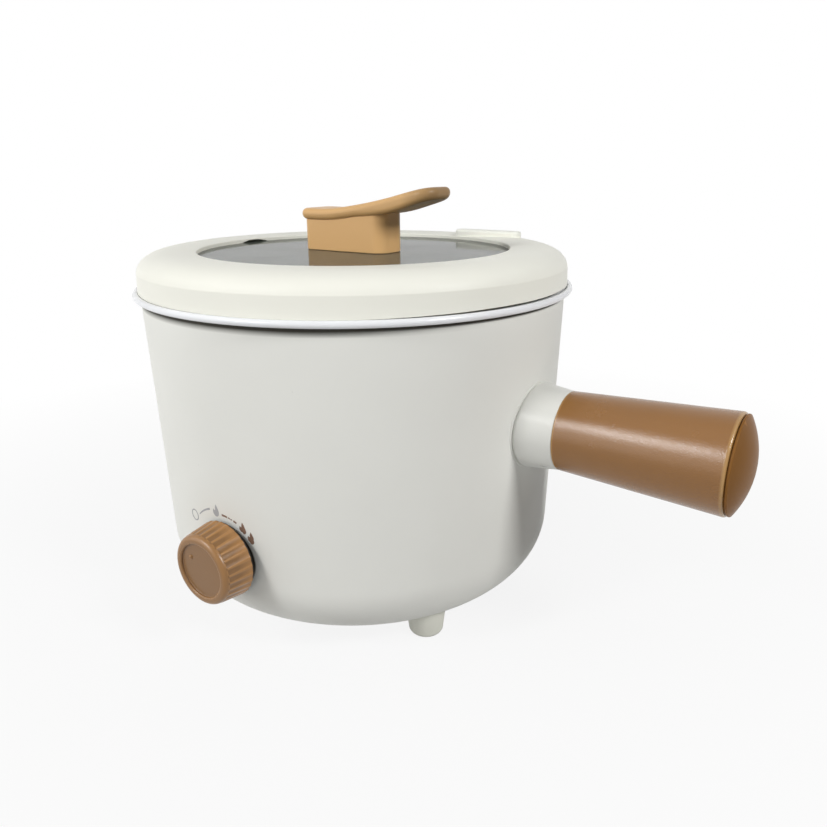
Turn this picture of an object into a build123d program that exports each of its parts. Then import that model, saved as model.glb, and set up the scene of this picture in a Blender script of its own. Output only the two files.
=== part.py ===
from build123d import *
import math
import os

# An electric cooking pan: a double-walled pot on three feet, with a straight side handle,
# a rotary heat control at the front and a lift-off lid with a glass window.
# Frame: origin on the table under the pot's axis, +X along the handle, -Y towards the
# control knob, +Z up. Lengths are in millimetres and angles in degrees.

# Clearances and cutting room shared by all pieces
overrun = 4.0
loose_gap = 0.4
thread_gap = 0.05
running_gap = 0.06

# Rim of the pot, which sets the size of the shell, the pot and the lid
rim_radius = 100.0
rim_bead_radius = 1.45
rim_overhang = 3.2
rim_width = 12.5

# Outer shell: a drafted plastic tub with a large rounded bottom edge
floor_gap = 8.8
shell_top_height = 147.2
shell_draft_share = 0.03
shell_corner_radius = 29.0
shell_wall = 2.4
base_ledge = 50.8
boss_radius = 5.0

# Inner pot: pressed aluminium with a rolled rim that hangs on the shell's top edge
pot_draft_share = 0.035
pot_floor_height = 64.0
pot_corner_radius = 18.0
pot_lip_radius = 3.0
pot_wall = 1.5

# Heater under the pot
heater_inset = 27.5
heater_thickness = 6.0
element_inset = 15.0
element_tube_radius = 3.3
element_gap_angle = 40.0
element_overhang = 8.0
cutout_radius = 8.0
cutout_height = 5.6
fuse_radius = 2.2
fuse_length = 16.0

# Tie bar, stud and heat shield that pull the pot down into the shell
stud_radius = 3.0
stud_length = 21.0
spacer_radius = 6.0
upper_spacer_length = 6.5
lower_spacer_length = 4.0
shield_overhang = 3.0
shield_thickness = 0.8
shield_lip = 3.0
tie_bar_thickness = 1.5
tie_bar_width = 18.0
tie_post_inset = 40.8
tie_bar_end_margin = 7.0
nut_width = 10.0
nut_sides = 6
nut_height = 5.0
washer_radius = 7.5
washer_thickness = 0.8

# Screws: self-tapping pan heads with a cross recess
screw_recess_share = 0.5
recess_width_share = 0.3
recess_length_share = 1.3
small_screw = {"shank": 1.4, "head": 2.8, "rise": 1.8, "length": 6.0}
bracket_screw = {"shank": 1.4, "head": 2.8, "rise": 1.8, "length": 4.4}
base_screw = {"shank": 1.7, "head": 3.4, "rise": 2.2, "length": 11.0}
foot_screw = {"shank": 1.7, "head": 3.0, "rise": 2.2, "length": 20.0}
grip_screw = {"shank": 2.0, "head": 4.0, "rise": 2.0, "length": 17.0}

# Base cover that closes the shell from below
cover_overlap = 10.0
cover_thickness = 1.8
cover_screw_inset = 4.0
cover_boss_height = 11.0
cover_slot_length = 14.0
cover_slot_width = 3.0
cover_slot_count = 12
cover_slot_inset = 16.0
cover_edge_radius = 0.8

# Three feet
foot_count = 3
foot_first_angle = -28.8
foot_inset = 25.5
foot_radius = 8.8
foot_tip_radius = 7.3
foot_edge_radius = 2.5
foot_screw_seat = 5.0
foot_boss_height = 17.0

# Heat control behind the front wall
knob_height = 47.0
knob_aside = 3.7
control_width = 30.0
control_height = 23.0
control_depth = 17.0
control_tab_length = 5.0
control_tab_width = 6.0
control_tab_thickness = 0.8
control_tab_place = 8.0
control_tab_drop = 7.0
control_neck_radius = 5.0
control_neck_length = 4.0
bracket_wall_gap = 7.4
bracket_thickness = 1.2
bracket_height = 20.0
bracket_screw_place = 19.0
bracket_margin = 5.0
control_boss_radius = 3.6
spindle_radius = 3.0
spindle_flat = 0.9
spindle_depth = 12.0

# Control knob: tapered, fluted, with a dished face and a raised pointer dot
knob_wall_gap = 1.0
knob_base_radius = 16.6
knob_taper = 1.4
knob_side_depth = 11.8
knob_depth = 14.1
knob_rim_round = 2.1
knob_rim_width = 3.7
knob_dish_depth = 1.2
knob_dish_round = 0.5
knob_wall = 2.6
knob_cavity_depth = 7.5
knob_hub_radius = 5.0
knob_bore_depth = 7.0
flute_count = 30
flute_radius = 2.7
flute_depth = 0.45
dot_radius = 1.0
dot_rise = 0.7
dot_inset = 4.0
dot_off_angle = -56.0

# Cord gland at the back
gland_height = 44.0
gland_flange_radius = 7.0
gland_flange_rise = 1.6
gland_neck_radius = 5.0
gland_bore_radius = 3.6
gland_lip_round = 0.6

# Terminal block on the shell's floor
terminal_width = 24.0
terminal_depth = 11.0
terminal_height = 13.0
terminal_inset = 41.8
terminal_screw_radius = 2.2
terminal_screw_rise = 1.0
terminal_screw_spread = 7.0

# Wires inside the base
wire_radius = 1.1
wire_bend_radius = 5.0
wire_lane = 22.0
wire_level = 30.0
wire_rise = 8.0
wire_tail = 8.0
wire_drop = 17.0

# Side handle: collar, flaring grip, end cap and the bolt through them
handle_height = 95.5
collar_end_radius = 16.7
collar_flare = 1.1
collar_seat_margin = 1.3
collar_seat_rise = 0.7
collar_length = 15.0
grip_flare = 3.2
grip_length = 66.3
grip_edge_round = 0.7
grip_bulkhead = 12.0
grip_root_wall = 5.5
grip_wall = 3.6
cap_plug_length = 7.0
cap_groove_width = 0.7
cap_groove_depth = 0.8
cap_edge_height = 1.1
cap_dome_rise = 4.6
cap_edge_round = 0.7
bolt_radius = 3.0
bolt_head_radius = 6.0
bolt_head_height = 2.0
bolt_tail = 3.0
bolt_pad_radius = 10.0
bolt_pad_rise = 1.0
bolt_washer_radius = 9.0
bolt_washer_thickness = 1.0

# Lid: domed ring, retainer below it, gasket, glass window
gasket_thickness = 1.6
gasket_width = 2.6
skirt_gap = 0.5
skirt_inset = 2.2
skirt_lean = 0.9
crease_rise = 7.8
shoulder_lean = 0.9
shoulder_rise = 6.2
shoulder_round = 6.0
crest_inset = 13.7
crest_rise = 1.5
crest_round = 26.0
lip_inset = 10.8
lip_rise = 1.7
lip_round = 0.6
lid_wall = 2.4
glass_overlap = 5.5
glass_thickness = 4.0
glass_drop = 0.9
retainer_shelf = 2.0
retainer_overlap = 5.0
lid_screw_count = 4
lid_screw_first_angle = 22.5
lid_boss_radius = 3.2

# Steam vent: a low slot under the ring's lip, opposite the handle, fed past the glass's edge
vent_width = 17.6
vent_height = 1.2
vent_reach = 1.6
vent_hole_spread = 6.0

# Lid grip: a rounded block with a swept plate on top
block_length = 47.4
block_width = 18.0
block_corner_radius = 6.0
block_shift = -1.5
plate_start = -25.0
plate_length = 73.5
plate_width = 22.0
plate_height = 14.0
plate_rise = 9.8
plate_thickness = 5.0
plate_tail_radius = 5.0
plate_nose_radius = 8.0
plate_edge_round = 1.8
plate_sweep_shares = ((0, 0), (0.24, 0.01), (0.48, 0.24), (0.68, 0.52), (0.87, 0.85), (1, 1))
grip_screw_place = 12.0
grip_washer_radius = 7.0
grip_washer_thickness = 1.0

# Raised tab on the lid ring
tab_length = 37.0
tab_width = 8.0
tab_start = 10.0
tab_overhang = 1.0
tab_rise = 3.4
tab_corner_radius = 3.0
tab_edge_round = 1.2

# Radii worked out from the sizes above
shell_top_radius = rim_radius - rim_overhang
pot_mouth_radius = rim_radius - rim_width
rim_bead_place = rim_radius - rim_bead_radius
base_opening_radius = shell_top_radius - base_ledge
cover_radius = base_opening_radius + cover_overlap
cover_screw_place = cover_radius - cover_screw_inset
cover_slot_place = base_opening_radius - cover_slot_inset
foot_place = shell_top_radius - foot_inset
tie_post_place = shell_top_radius - tie_post_inset
terminal_place = shell_top_radius - terminal_inset
heater_radius = pot_mouth_radius - heater_inset
element_ring_radius = heater_radius - element_inset
element_end_reach = heater_radius + element_overhang
cutout_place = (spacer_radius + element_ring_radius - element_tube_radius) / 2
shield_radius = heater_radius + shield_overhang
knob_edge_radius = knob_base_radius - knob_taper
knob_dish_radius = knob_edge_radius - knob_rim_width
dot_place = knob_dish_radius - dot_inset
collar_root_radius = collar_end_radius + collar_flare
collar_seat_radius = collar_root_radius + collar_seat_margin
grip_end_radius = collar_end_radius + grip_flare
grip_bore_radius = collar_end_radius - grip_root_wall
cap_bore_radius = grip_end_radius - grip_wall
skirt_radius = rim_radius - skirt_inset
crease_radius = skirt_radius - skirt_lean
shoulder_radius = crease_radius - shoulder_lean
crest_radius = shoulder_radius - crest_inset
window_radius = crest_radius - lip_inset
glass_radius = window_radius + glass_overlap
well_radius = glass_radius + loose_gap
retainer_radius = crease_radius - lid_wall - 2 * loose_gap
lid_screw_place = (well_radius + lid_wall + retainer_radius) / 2
tab_front = window_radius - tab_overhang

# Levels worked out from the sizes above
shell_floor = floor_gap + shell_wall
lid_seat = shell_top_height + pot_wall
rim_bead_height = shell_top_height + pot_wall / 2
heater_top = pot_floor_height - pot_wall
heater_bottom = heater_top - heater_thickness
shield_top = heater_bottom - upper_spacer_length
shield_bottom = shield_top - shield_thickness
tie_bar_top = shield_bottom - lower_spacer_length
tie_bar_bottom = tie_bar_top - tie_bar_thickness
skirt_bottom = rim_bead_height + rim_bead_radius + skirt_gap
crease_height = skirt_bottom + crease_rise
shoulder_height = crease_height + shoulder_rise
crest_height = shoulder_height + crest_rise
glass_top = shoulder_height - glass_drop
glass_bottom = glass_top - glass_thickness
lip_height = glass_top + lip_rise


def shell_radius(height):
    """Outside radius of the shell's drafted wall at a height."""
    return shell_top_radius - shell_draft_share * (shell_top_height - height)


def pot_radius(height):
    """Inside radius of the pot's drafted wall at a height."""
    return pot_mouth_radius - pot_draft_share * (lid_seat - height)


def outline_face(points, radii):
    """Face inside a closed outline with the given corner radii."""
    return make_face(FilletPolyline(*points, radius=radii, close=True))


def lathe(points, radii=0):
    """Solid turned about Z from an outline of (radius, height) points."""
    return revolve(Plane.XZ * outline_face(points, radii), Axis.Z)


def rod(radius, low, high, place=(0, 0)):
    """Upright cylinder between two heights."""
    stand = (Align.CENTER, Align.CENTER, Align.MIN)
    return Pos(place[0], place[1], low) * Cylinder(radius, high - low, align=stand)


def block(length, width, low, high, place=(0, 0)):
    """Upright box between two heights."""
    stand = (Align.CENTER, Align.CENTER, Align.MIN)
    return Pos(place[0], place[1], low) * Box(length, width, high - low, align=stand)


def polar(radius, angle):
    """Place in plan at a radius and an angle from +X."""
    return (radius * math.cos(math.radians(angle)), radius * math.sin(math.radians(angle)))


def around(count, first):
    """Evenly spaced angles."""
    return [first + 360 / count * k for k in range(count)]


def screw(size):
    """Pan-head screw pointing down, with its head's seat at height zero."""
    head = lathe(
        [(0, 0), (size["head"], 0), (size["head"], size["rise"]), (0, size["rise"])],
        [0, 0, size["rise"] / 2, 0],
    )
    recess_depth = size["rise"] * screw_recess_share
    recess_length = size["head"] * recess_length_share
    recess_width = size["head"] * recess_width_share
    bottom = size["rise"] - recess_depth
    for length, width in ((recess_length, recess_width), (recess_width, recess_length)):
        head -= block(length, width, bottom, size["rise"] + overrun)
    return head + rod(size["shank"], -size["length"], 0)


def nut(bore):
    """Hexagon nut standing on height zero."""
    hexagon = extrude(RegularPolygon(nut_width / 2, nut_sides, major_radius=False), nut_height)
    return hexagon - rod(bore, -overrun, nut_height + overrun)


def washer(radius, bore, low, thickness, place=(0, 0)):
    """Flat ring."""
    top = low + thickness
    return rod(radius, low, top, place) - rod(bore, low - overrun, top + overrun, place)


def shell_form(inset, rise=0):
    """Solid outline of the shell, drawn in by an inset and run on above its top edge."""
    top = shell_top_height + rise
    low = floor_gap + inset
    return lathe(
        [(0, low), (shell_radius(floor_gap) - inset, low), (shell_radius(top) - inset, top), (0, top)],
        [0, shell_corner_radius - inset, 0, 0],
    )


# Placements: pieces turned about Z that point along the handle, out of the front or out of the back
along_handle = Pos(0, 0, handle_height) * Rot(0, 90, 0)
out_of_front = Pos(knob_aside, 0, knob_height) * Rot(90, 0, 0)
out_of_back = Pos(0, 0, gland_height) * Rot(-90, 0, 0)
upside_down = Rot(180, 0, 0)

shell_outside = shell_form(0)
foot_places = [polar(foot_place, angle) for angle in around(foot_count, foot_first_angle)]
cover_screw_angles = around(foot_count, foot_first_angle + 180 / foot_count)
cover_screw_places = [polar(cover_screw_place, angle) for angle in cover_screw_angles]
lid_screw_angles = around(lid_screw_count, lid_screw_first_angle)
lid_screw_places = [polar(lid_screw_place, angle) for angle in lid_screw_angles]
tie_post_places = [(tie_post_place, 0), (-tie_post_place, 0)]
wall_at_knob = shell_radius(knob_height)
wall_at_handle = shell_radius(handle_height)
wall_at_gland = shell_radius(gland_height)
bracket_front = wall_at_knob - bracket_wall_gap
bracket_back = bracket_front - bracket_thickness
bolt_pad_face = wall_at_handle - shell_wall - bolt_pad_rise
bracket_screw_places = [(bracket_screw_place, 0), (-bracket_screw_place, 0)]


def make_outer_shell():
    """Shell wall with its inside bosses, the handle's seat and all its holes."""
    seat_reach = wall_at_handle + overrun
    seat = along_handle * rod(collar_seat_radius, 0, seat_reach) & shell_form(-collar_seat_rise)
    shell = shell_outside + seat - shell_form(shell_wall, overrun)
    bosses = [rod(boss_radius, floor_gap, shell_floor + foot_boss_height, p) for p in foot_places]
    bosses += [rod(boss_radius, floor_gap, floor_gap + cover_boss_height, p) for p in cover_screw_places]
    bosses += [rod(boss_radius, floor_gap, tie_bar_bottom, p) for p in tie_post_places]
    for place in bracket_screw_places:
        bosses.append(out_of_front * rod(control_boss_radius, bracket_front, wall_at_knob, place))
    bosses.append(along_handle * rod(bolt_pad_radius, bolt_pad_face, wall_at_handle))
    for boss in bosses:
        shell += boss & shell_outside
    shell -= rod(base_opening_radius, floor_gap - overrun, shell_floor + overrun)
    for place in foot_places:
        top = foot_screw_seat + foot_screw["length"] + loose_gap
        shell -= rod(foot_screw["shank"] + thread_gap, 0, top, place)
    for place in cover_screw_places:
        top = floor_gap - cover_thickness + base_screw["length"] + loose_gap
        shell -= rod(base_screw["shank"] + thread_gap, 0, top, place)
    for place in tie_post_places:
        low = tie_bar_top - base_screw["length"] - loose_gap
        shell -= rod(base_screw["shank"] + thread_gap, low, tie_bar_top, place)
    for place in bracket_screw_places:
        pilot_end = bracket_back + bracket_screw["length"] + loose_gap
        shell -= out_of_front * rod(bracket_screw["shank"] + thread_gap, bracket_back, pilot_end, place)
    shell -= out_of_front * rod(spindle_radius + loose_gap, bracket_front, wall_at_knob + overrun)
    shell -= along_handle * rod(bolt_radius + loose_gap, bolt_pad_face - overrun, wall_at_handle + overrun)
    gland_low = wall_at_gland - 2 * shell_wall
    gland_hole = rod(gland_neck_radius + thread_gap, gland_low, wall_at_gland + overrun)
    return shell - out_of_back * gland_hole


def make_base_cover():
    """Round plate under the shell with a ring of vent slots."""
    low = floor_gap - cover_thickness
    cover = lathe(
        [(0, low), (cover_radius, low), (cover_radius, floor_gap), (0, floor_gap)],
        [0, cover_edge_radius, 0, 0],
    )
    slot = extrude(SlotOverall(cover_slot_length, cover_slot_width), cover_thickness + 2 * overrun)
    for angle in around(cover_slot_count, 0):
        cover -= Rot(0, 0, angle) * Pos(cover_slot_place, 0, low - overrun) * slot
    for place in cover_screw_places:
        cover -= rod(base_screw["shank"] + loose_gap, low - overrun, floor_gap + overrun, place)
    return cover


def make_foot(place):
    """Tapered round foot that follows the shell's rounded edge, with a sunk screw."""
    low_side = floor_gap + shell_corner_radius / 2
    foot = lathe(
        [(0, 0), (foot_tip_radius, 0), (foot_radius, floor_gap), (foot_radius, low_side), (0, low_side)],
        [0, foot_edge_radius, 0, 0, 0],
    )
    foot = Pos(place[0], place[1], 0) * foot - shell_outside
    foot -= rod(foot_screw["head"] + loose_gap, -overrun, foot_screw_seat, place)
    return foot - rod(foot_screw["shank"] + loose_gap, 0, low_side + overrun, place)


def make_inner_pot():
    """Drafted pot with a flange that ends in a rolled bead."""
    low = heater_top
    floor_radius = pot_radius(pot_floor_height)
    section = outline_face(
        [
            (0, low),
            (floor_radius + pot_wall, low),
            (pot_mouth_radius + pot_wall, shell_top_height),
            (rim_bead_place, shell_top_height),
            (rim_bead_place, lid_seat),
            (pot_mouth_radius, lid_seat),
            (floor_radius, pot_floor_height),
            (0, pot_floor_height),
        ],
        [
            0,
            pot_corner_radius + pot_wall,
            pot_lip_radius - pot_wall,
            0,
            0,
            pot_lip_radius,
            pot_corner_radius,
            0,
        ],
    )
    section += Pos(rim_bead_place, rim_bead_height) * Circle(rim_bead_radius)
    return revolve(Plane.XZ * section, Axis.Z)


def element_form(tube):
    """Open ring of tube with two straight ends that reach to the back."""
    sweep_angle = 360 - element_gap_angle
    first = 90 + element_gap_angle / 2
    form = Rot(0, 0, first) * Torus(element_ring_radius, tube, major_angle=sweep_angle)
    for angle in (first, first + sweep_angle):
        x, y = polar(element_ring_radius, angle)
        form += Pos(x, y, 0) * Sphere(tube)
        form += Pos(x, 0, 0) * Rot(-90, 0, 0) * rod(tube, y, element_end_reach)
    return Pos(0, 0, heater_bottom) * form


def make_heater_plate():
    """Cast disc against the pot's bottom, grooved for the element."""
    return rod(heater_radius, heater_bottom, heater_top) - element_form(element_tube_radius + thread_gap)


def make_heat_shield():
    """Thin disc with a turned-down lip."""
    inner = shield_radius - shield_thickness
    lip_bottom = shield_bottom - shield_lip
    return lathe(
        [
            (stud_radius + loose_gap, shield_bottom),
            (inner, shield_bottom),
            (inner, lip_bottom),
            (shield_radius, lip_bottom),
            (shield_radius, shield_top),
            (stud_radius + loose_gap, shield_top),
        ],
    )


def make_tie_bar():
    """Steel strap across two posts, with holes for the stud and two screws."""
    length = 2 * (tie_post_place + tie_bar_end_margin)
    bar = block(length, tie_bar_width, tie_bar_bottom, tie_bar_top)
    bar -= rod(stud_radius + loose_gap, tie_bar_bottom - overrun, tie_bar_top + overrun)
    for place in tie_post_places:
        bar -= rod(base_screw["shank"] + loose_gap, tie_bar_bottom - overrun, tie_bar_top + overrun, place)
    return bar


def make_spacers():
    """Two tubes on the stud, above and below the heat shield."""
    bore = stud_radius + loose_gap
    return [
        washer(spacer_radius, bore, shield_top, upper_spacer_length),
        washer(spacer_radius, bore, tie_bar_top, lower_spacer_length),
    ]


def make_control_body():
    """Rotary thermostat: case, neck and two push-on tabs, made pointing outwards."""
    back = bracket_back - control_depth
    body = block(control_width, control_height, back, bracket_back)
    body += rod(control_neck_radius, bracket_back, bracket_front + control_neck_length)
    for side in (-1, 1):
        tab_at = (side * control_tab_place, -control_tab_drop)
        body += block(control_tab_width, control_tab_thickness, back - control_tab_length, back, tab_at)
    return body - rod(spindle_radius + running_gap, bracket_front - spindle_depth, wall_at_knob)


def make_control_bracket():
    """Flat plate that carries the thermostat on two bosses of the front wall."""
    length = 2 * (bracket_screw_place + bracket_margin)
    plate = block(length, bracket_height, bracket_back, bracket_front)
    plate -= rod(control_neck_radius + thread_gap, bracket_back - overrun, bracket_front + overrun)
    hole_radius = bracket_screw["shank"] + loose_gap
    for place in bracket_screw_places:
        plate -= rod(hole_radius, bracket_back - overrun, bracket_front + overrun, place)
    return plate


def flatted_shaft(radius, flat, low, high, flat_low):
    """Round shaft with a flat on its upper side from one height on."""
    cut = Pos(0, radius - flat, flat_low) * Box(
        2 * radius + overrun, overrun, high - flat_low + overrun, align=(Align.CENTER, Align.MIN, Align.MIN)
    )
    return rod(radius, low, high) - cut


knob_base = wall_at_knob + knob_wall_gap
spindle_end = knob_base + knob_bore_depth - loose_gap


def make_spindle():
    """Thermostat shaft with a flat for the knob."""
    low = bracket_front - spindle_depth + loose_gap
    return flatted_shaft(spindle_radius, spindle_flat, low, spindle_end, knob_base)


def make_knob():
    """Fluted knob, made pointing outwards with its pointer dot at the off mark."""
    top = knob_base + knob_depth
    dish = top - knob_dish_depth
    cavity = knob_base + knob_cavity_depth
    edge_slope = (knob_base_radius - knob_edge_radius) / knob_side_depth
    top_radius = knob_base_radius - edge_slope * knob_depth
    knob = lathe(
        [
            (0, knob_base),
            (knob_hub_radius, knob_base),
            (knob_hub_radius, cavity),
            (knob_edge_radius - knob_wall, cavity),
            (knob_base_radius - knob_wall, knob_base),
            (knob_base_radius, knob_base),
            (top_radius, top),
            (knob_dish_radius, top),
            (knob_dish_radius, dish),
            (0, dish),
        ],
        [0, 0, 0, 0, 0, 0, knob_rim_round, knob_dish_round, knob_dish_round, 0],
    )
    lean = math.degrees(math.atan(edge_slope))
    flute = Pos(knob_base_radius - flute_depth + flute_radius, 0, knob_base) * Rot(0, -lean, 0)
    flute = flute * rod(flute_radius, -overrun, knob_depth + overrun)
    for angle in around(flute_count, 0):
        knob -= Rot(0, 0, angle) * flute
    bore_low = knob_base - overrun
    bore_end = knob_base + knob_bore_depth
    knob -= flatted_shaft(spindle_radius + thread_gap, spindle_flat, bore_low, bore_end, bore_low)
    ball_radius = (dot_radius**2 + dot_rise**2) / (2 * dot_rise)
    dot_x, dot_y = polar(dot_place, 90 - dot_off_angle)
    ball = Pos(dot_x, dot_y, dish + dot_rise - ball_radius) * Sphere(ball_radius)
    return knob + (ball & rod(2 * dot_radius, dish, top, (dot_x, dot_y)))


def make_gland(shell):
    """Grommet round the cord hole, gripping the wall between two flanges."""
    inside = wall_at_gland - shell_wall - gland_flange_rise
    outside = wall_at_gland + gland_flange_rise
    form = lathe(
        [
            (gland_bore_radius, inside),
            (gland_flange_radius, inside),
            (gland_flange_radius, outside),
            (gland_bore_radius, outside),
        ],
        [0, gland_lip_round, gland_lip_round, gland_lip_round],
    )
    return out_of_back * form - shell


def make_terminal_block():
    """Porcelain block with two clamp screws on top."""
    top = shell_floor + terminal_height
    body = block(terminal_width, terminal_depth, shell_floor, top, (0, terminal_place))
    for side in (-1, 1):
        spot = (side * terminal_screw_spread, terminal_place)
        body += rod(terminal_screw_radius, top, top + terminal_screw_rise, spot)
    return body


def wire(points):
    """Insulated wire along straight runs with rounded bends."""
    path = FilletPolyline(*points, radius=wire_bend_radius)
    start = Plane(origin=path @ 0, z_dir=path % 0)
    return sweep(start * Circle(wire_radius), path)


def make_wires():
    """Supply to thermostat, thermostat to element, and element back to supply."""
    supply_top = shell_floor + terminal_height + terminal_screw_rise
    tab_end = -(bracket_back - control_depth - control_tab_length)
    tab_turn = tab_end + wire_tail
    tab_height = knob_height - control_tab_drop
    element_x = polar(element_ring_radius, 90 - element_gap_angle / 2)[0]
    element_turn = element_end_reach + wire_tail
    wires = []
    for side in (-1, 1):
        tab_x = knob_aside + side * control_tab_place
        lane_x = side * wire_lane
        start_x = side * terminal_screw_spread
        tab_run = [
            (lane_x, tab_turn, wire_level),
            (tab_x, tab_turn, tab_height),
            (tab_x, tab_end, tab_height),
        ]
        if side < 0:
            back_run = [
                (start_x, terminal_place, supply_top),
                (start_x, terminal_place, supply_top + wire_rise),
                (lane_x, terminal_place - terminal_depth, wire_level),
            ]
        else:
            back_run = [
                (element_x, element_end_reach, heater_bottom),
                (element_x, element_turn, heater_bottom),
                (element_x, element_turn, heater_bottom - wire_drop),
                (lane_x, terminal_place - terminal_depth, wire_level),
            ]
        wires.append(wire(back_run + tab_run))
    wires.append(
        wire(
            [
                (-element_x, element_end_reach, heater_bottom),
                (-element_x, element_turn, heater_bottom),
                (-element_x, element_turn, heater_bottom - wire_drop),
                (terminal_screw_spread, terminal_place, supply_top + wire_rise),
                (terminal_screw_spread, terminal_place, supply_top),
            ]
        )
    )
    return wires


grip_start = wall_at_handle + collar_length
grip_end = grip_start + grip_length
bolt_seat = grip_start + grip_bulkhead


def make_collar():
    """Tapered white sleeve between the wall and the grip."""
    root = bolt_pad_face
    flare = (collar_root_radius - collar_end_radius) / collar_length
    form = lathe(
        [
            (bolt_radius + loose_gap, root),
            (collar_end_radius + flare * (grip_start - root), root),
            (collar_end_radius, grip_start),
            (bolt_radius + loose_gap, grip_start),
        ],
    )
    return along_handle * form - shell_form(-collar_seat_rise)


def make_grip():
    """Flaring grip with a bulkhead for the bolt and a bore for the end cap."""
    plug_start = grip_end - cap_plug_length
    return along_handle * lathe(
        [
            (bolt_radius + loose_gap, grip_start),
            (collar_end_radius, grip_start),
            (grip_end_radius, grip_end),
            (cap_bore_radius, grip_end),
            (cap_bore_radius, plug_start),
            (grip_bore_radius, bolt_seat),
            (bolt_radius + loose_gap, bolt_seat),
        ],
        [0, 0, grip_edge_round, 0, 0, 0, 0],
    )


def make_end_cap():
    """Domed cap with a plug in the grip's bore and a shadow groove behind its edge."""
    disc = grip_end + cap_groove_width
    edge = disc + cap_edge_height
    crown = edge + cap_dome_rise
    plug_radius = cap_bore_radius - thread_gap
    plug_end = grip_end - cap_plug_length + loose_gap
    groove_radius = grip_end_radius - cap_groove_depth
    ball_radius = (grip_end_radius**2 + cap_dome_rise**2) / (2 * cap_dome_rise)
    half_way = grip_end_radius / 2
    side = Polyline(
        (0, crown),
        (0, plug_end),
        (plug_radius, plug_end),
        (plug_radius, grip_end),
        (groove_radius, grip_end),
        (groove_radius, disc),
        (grip_end_radius, disc),
        (grip_end_radius, edge),
    )
    half_way_height = crown - ball_radius + math.sqrt(ball_radius**2 - half_way**2)
    dome = ThreePointArc((grip_end_radius, edge), (half_way, half_way_height), (0, crown))
    section = make_face([side, dome])
    rim = section.vertices().sort_by_distance((grip_end_radius, edge))[0]
    return along_handle * revolve(Plane.XZ * fillet(rim, cap_edge_round), Axis.Z)


def make_bolt():
    """Handle bolt, its flat head inside the shell and its nut inside the grip."""
    head_low = bolt_pad_face - bolt_washer_thickness - bolt_head_height
    head_top = head_low + bolt_head_height
    tail = bolt_seat + washer_thickness + nut_height + bolt_tail
    bolt = rod(bolt_head_radius, head_low, head_top) + rod(bolt_radius, head_top, tail)
    return along_handle * bolt


def make_bolt_washers():
    """Washer under the bolt's head and washer under its nut."""
    bore = bolt_radius + loose_gap
    head_low = bolt_pad_face - bolt_washer_thickness
    head_washer = washer(bolt_washer_radius, bore, head_low, bolt_washer_thickness)
    nut_washer = washer(washer_radius, bore, bolt_seat, washer_thickness)
    return [along_handle * head_washer, along_handle * nut_washer]


def make_lid_ring():
    """Domed ring with a skirt outside, a lip over the glass and bosses for its screws."""
    well_wall = well_radius + lid_wall
    roof = glass_top - loose_gap
    ring = lathe(
        [
            (skirt_radius, skirt_bottom),
            (crease_radius, crease_height),
            (shoulder_radius, shoulder_height),
            (crest_radius, crest_height),
            (window_radius, lip_height),
            (window_radius, glass_top),
            (well_radius, glass_top),
            (well_radius, glass_bottom),
            (well_wall, glass_bottom),
            (well_wall, roof),
            (shoulder_radius - lid_wall, roof),
            (crease_radius - lid_wall, crease_height),
            (skirt_radius - lid_wall, skirt_bottom),
        ],
        [lip_round, 0, shoulder_round, crest_round, lip_round]
        + [0, 0, 0, 0, 0, shoulder_round - lid_wall, 0, lip_round],
    )
    for place in lid_screw_places:
        ring += rod(lid_boss_radius, glass_bottom, roof + loose_gap, place)
        pilot_top = glass_bottom - retainer_shelf + small_screw["length"] + loose_gap
        ring -= rod(small_screw["shank"] + thread_gap, glass_bottom - overrun, pilot_top, place)
    vent_end = well_radius + vent_reach
    vent_length = vent_end - window_radius + overrun
    vent_at = (vent_length / 2 - vent_end, 0)
    return ring - block(vent_length, vent_width, glass_bottom, glass_top + vent_height, vent_at)


def make_retainer():
    """Ring under the glass, with a rim that stands on the gasket."""
    shelf = glass_bottom - retainer_shelf
    rim_inside = retainer_radius - gasket_width
    shelf_inside = glass_radius - retainer_overlap
    retainer = lathe(
        [
            (shelf_inside, shelf),
            (rim_inside, shelf),
            (rim_inside, lid_seat + gasket_thickness),
            (retainer_radius, lid_seat + gasket_thickness),
            (retainer_radius, glass_bottom),
            (shelf_inside, glass_bottom),
        ],
    )
    for place in lid_screw_places:
        retainer -= rod(small_screw["shank"] + loose_gap, shelf - overrun, glass_bottom + overrun, place)
    for side in (-1, 0, 1):
        place = (-well_radius - vent_reach / 2, side * vent_hole_spread)
        retainer -= rod(vent_reach / 2, shelf - overrun, glass_bottom + overrun, place)
    return retainer


def make_glass():
    """Flat window disc with two holes for the grip's screws."""
    glass = rod(glass_radius, glass_bottom, glass_top)
    for place in grip_screw_places:
        glass -= rod(grip_screw["shank"] + loose_gap, glass_bottom - overrun, glass_top + overrun, place)
    return glass


grip_screw_places = [(block_shift + side * grip_screw_place, 0) for side in (-1, 1)]
grip_screw_seat = glass_bottom - grip_washer_thickness


def sweep_line(rise):
    """Swept line of the plate in side view, raised by a height."""
    points = [
        (plate_start + along * plate_length, glass_top + plate_height + up * plate_rise + rise)
        for along, up in plate_sweep_shares
    ]
    return Spline(*points, tangents=((1, 0), (1, 0)))


def side_prism(lower, upper, width):
    """Solid between two side-view lines, extruded evenly to both sides."""
    ends = [Line(lower @ 0, upper @ 0), Line(lower @ 1, upper @ 1)]
    return Pos(0, width / 2, 0) * extrude(Plane.XZ * make_face([lower, upper] + ends), width)


def drill_grip(body):
    """Cut the two screw pilots into a piece of the grip."""
    top = grip_screw_seat + grip_screw["length"] + loose_gap
    for place in grip_screw_places:
        body -= rod(grip_screw["shank"] + thread_gap, glass_bottom, top, place)
    return body


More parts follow.
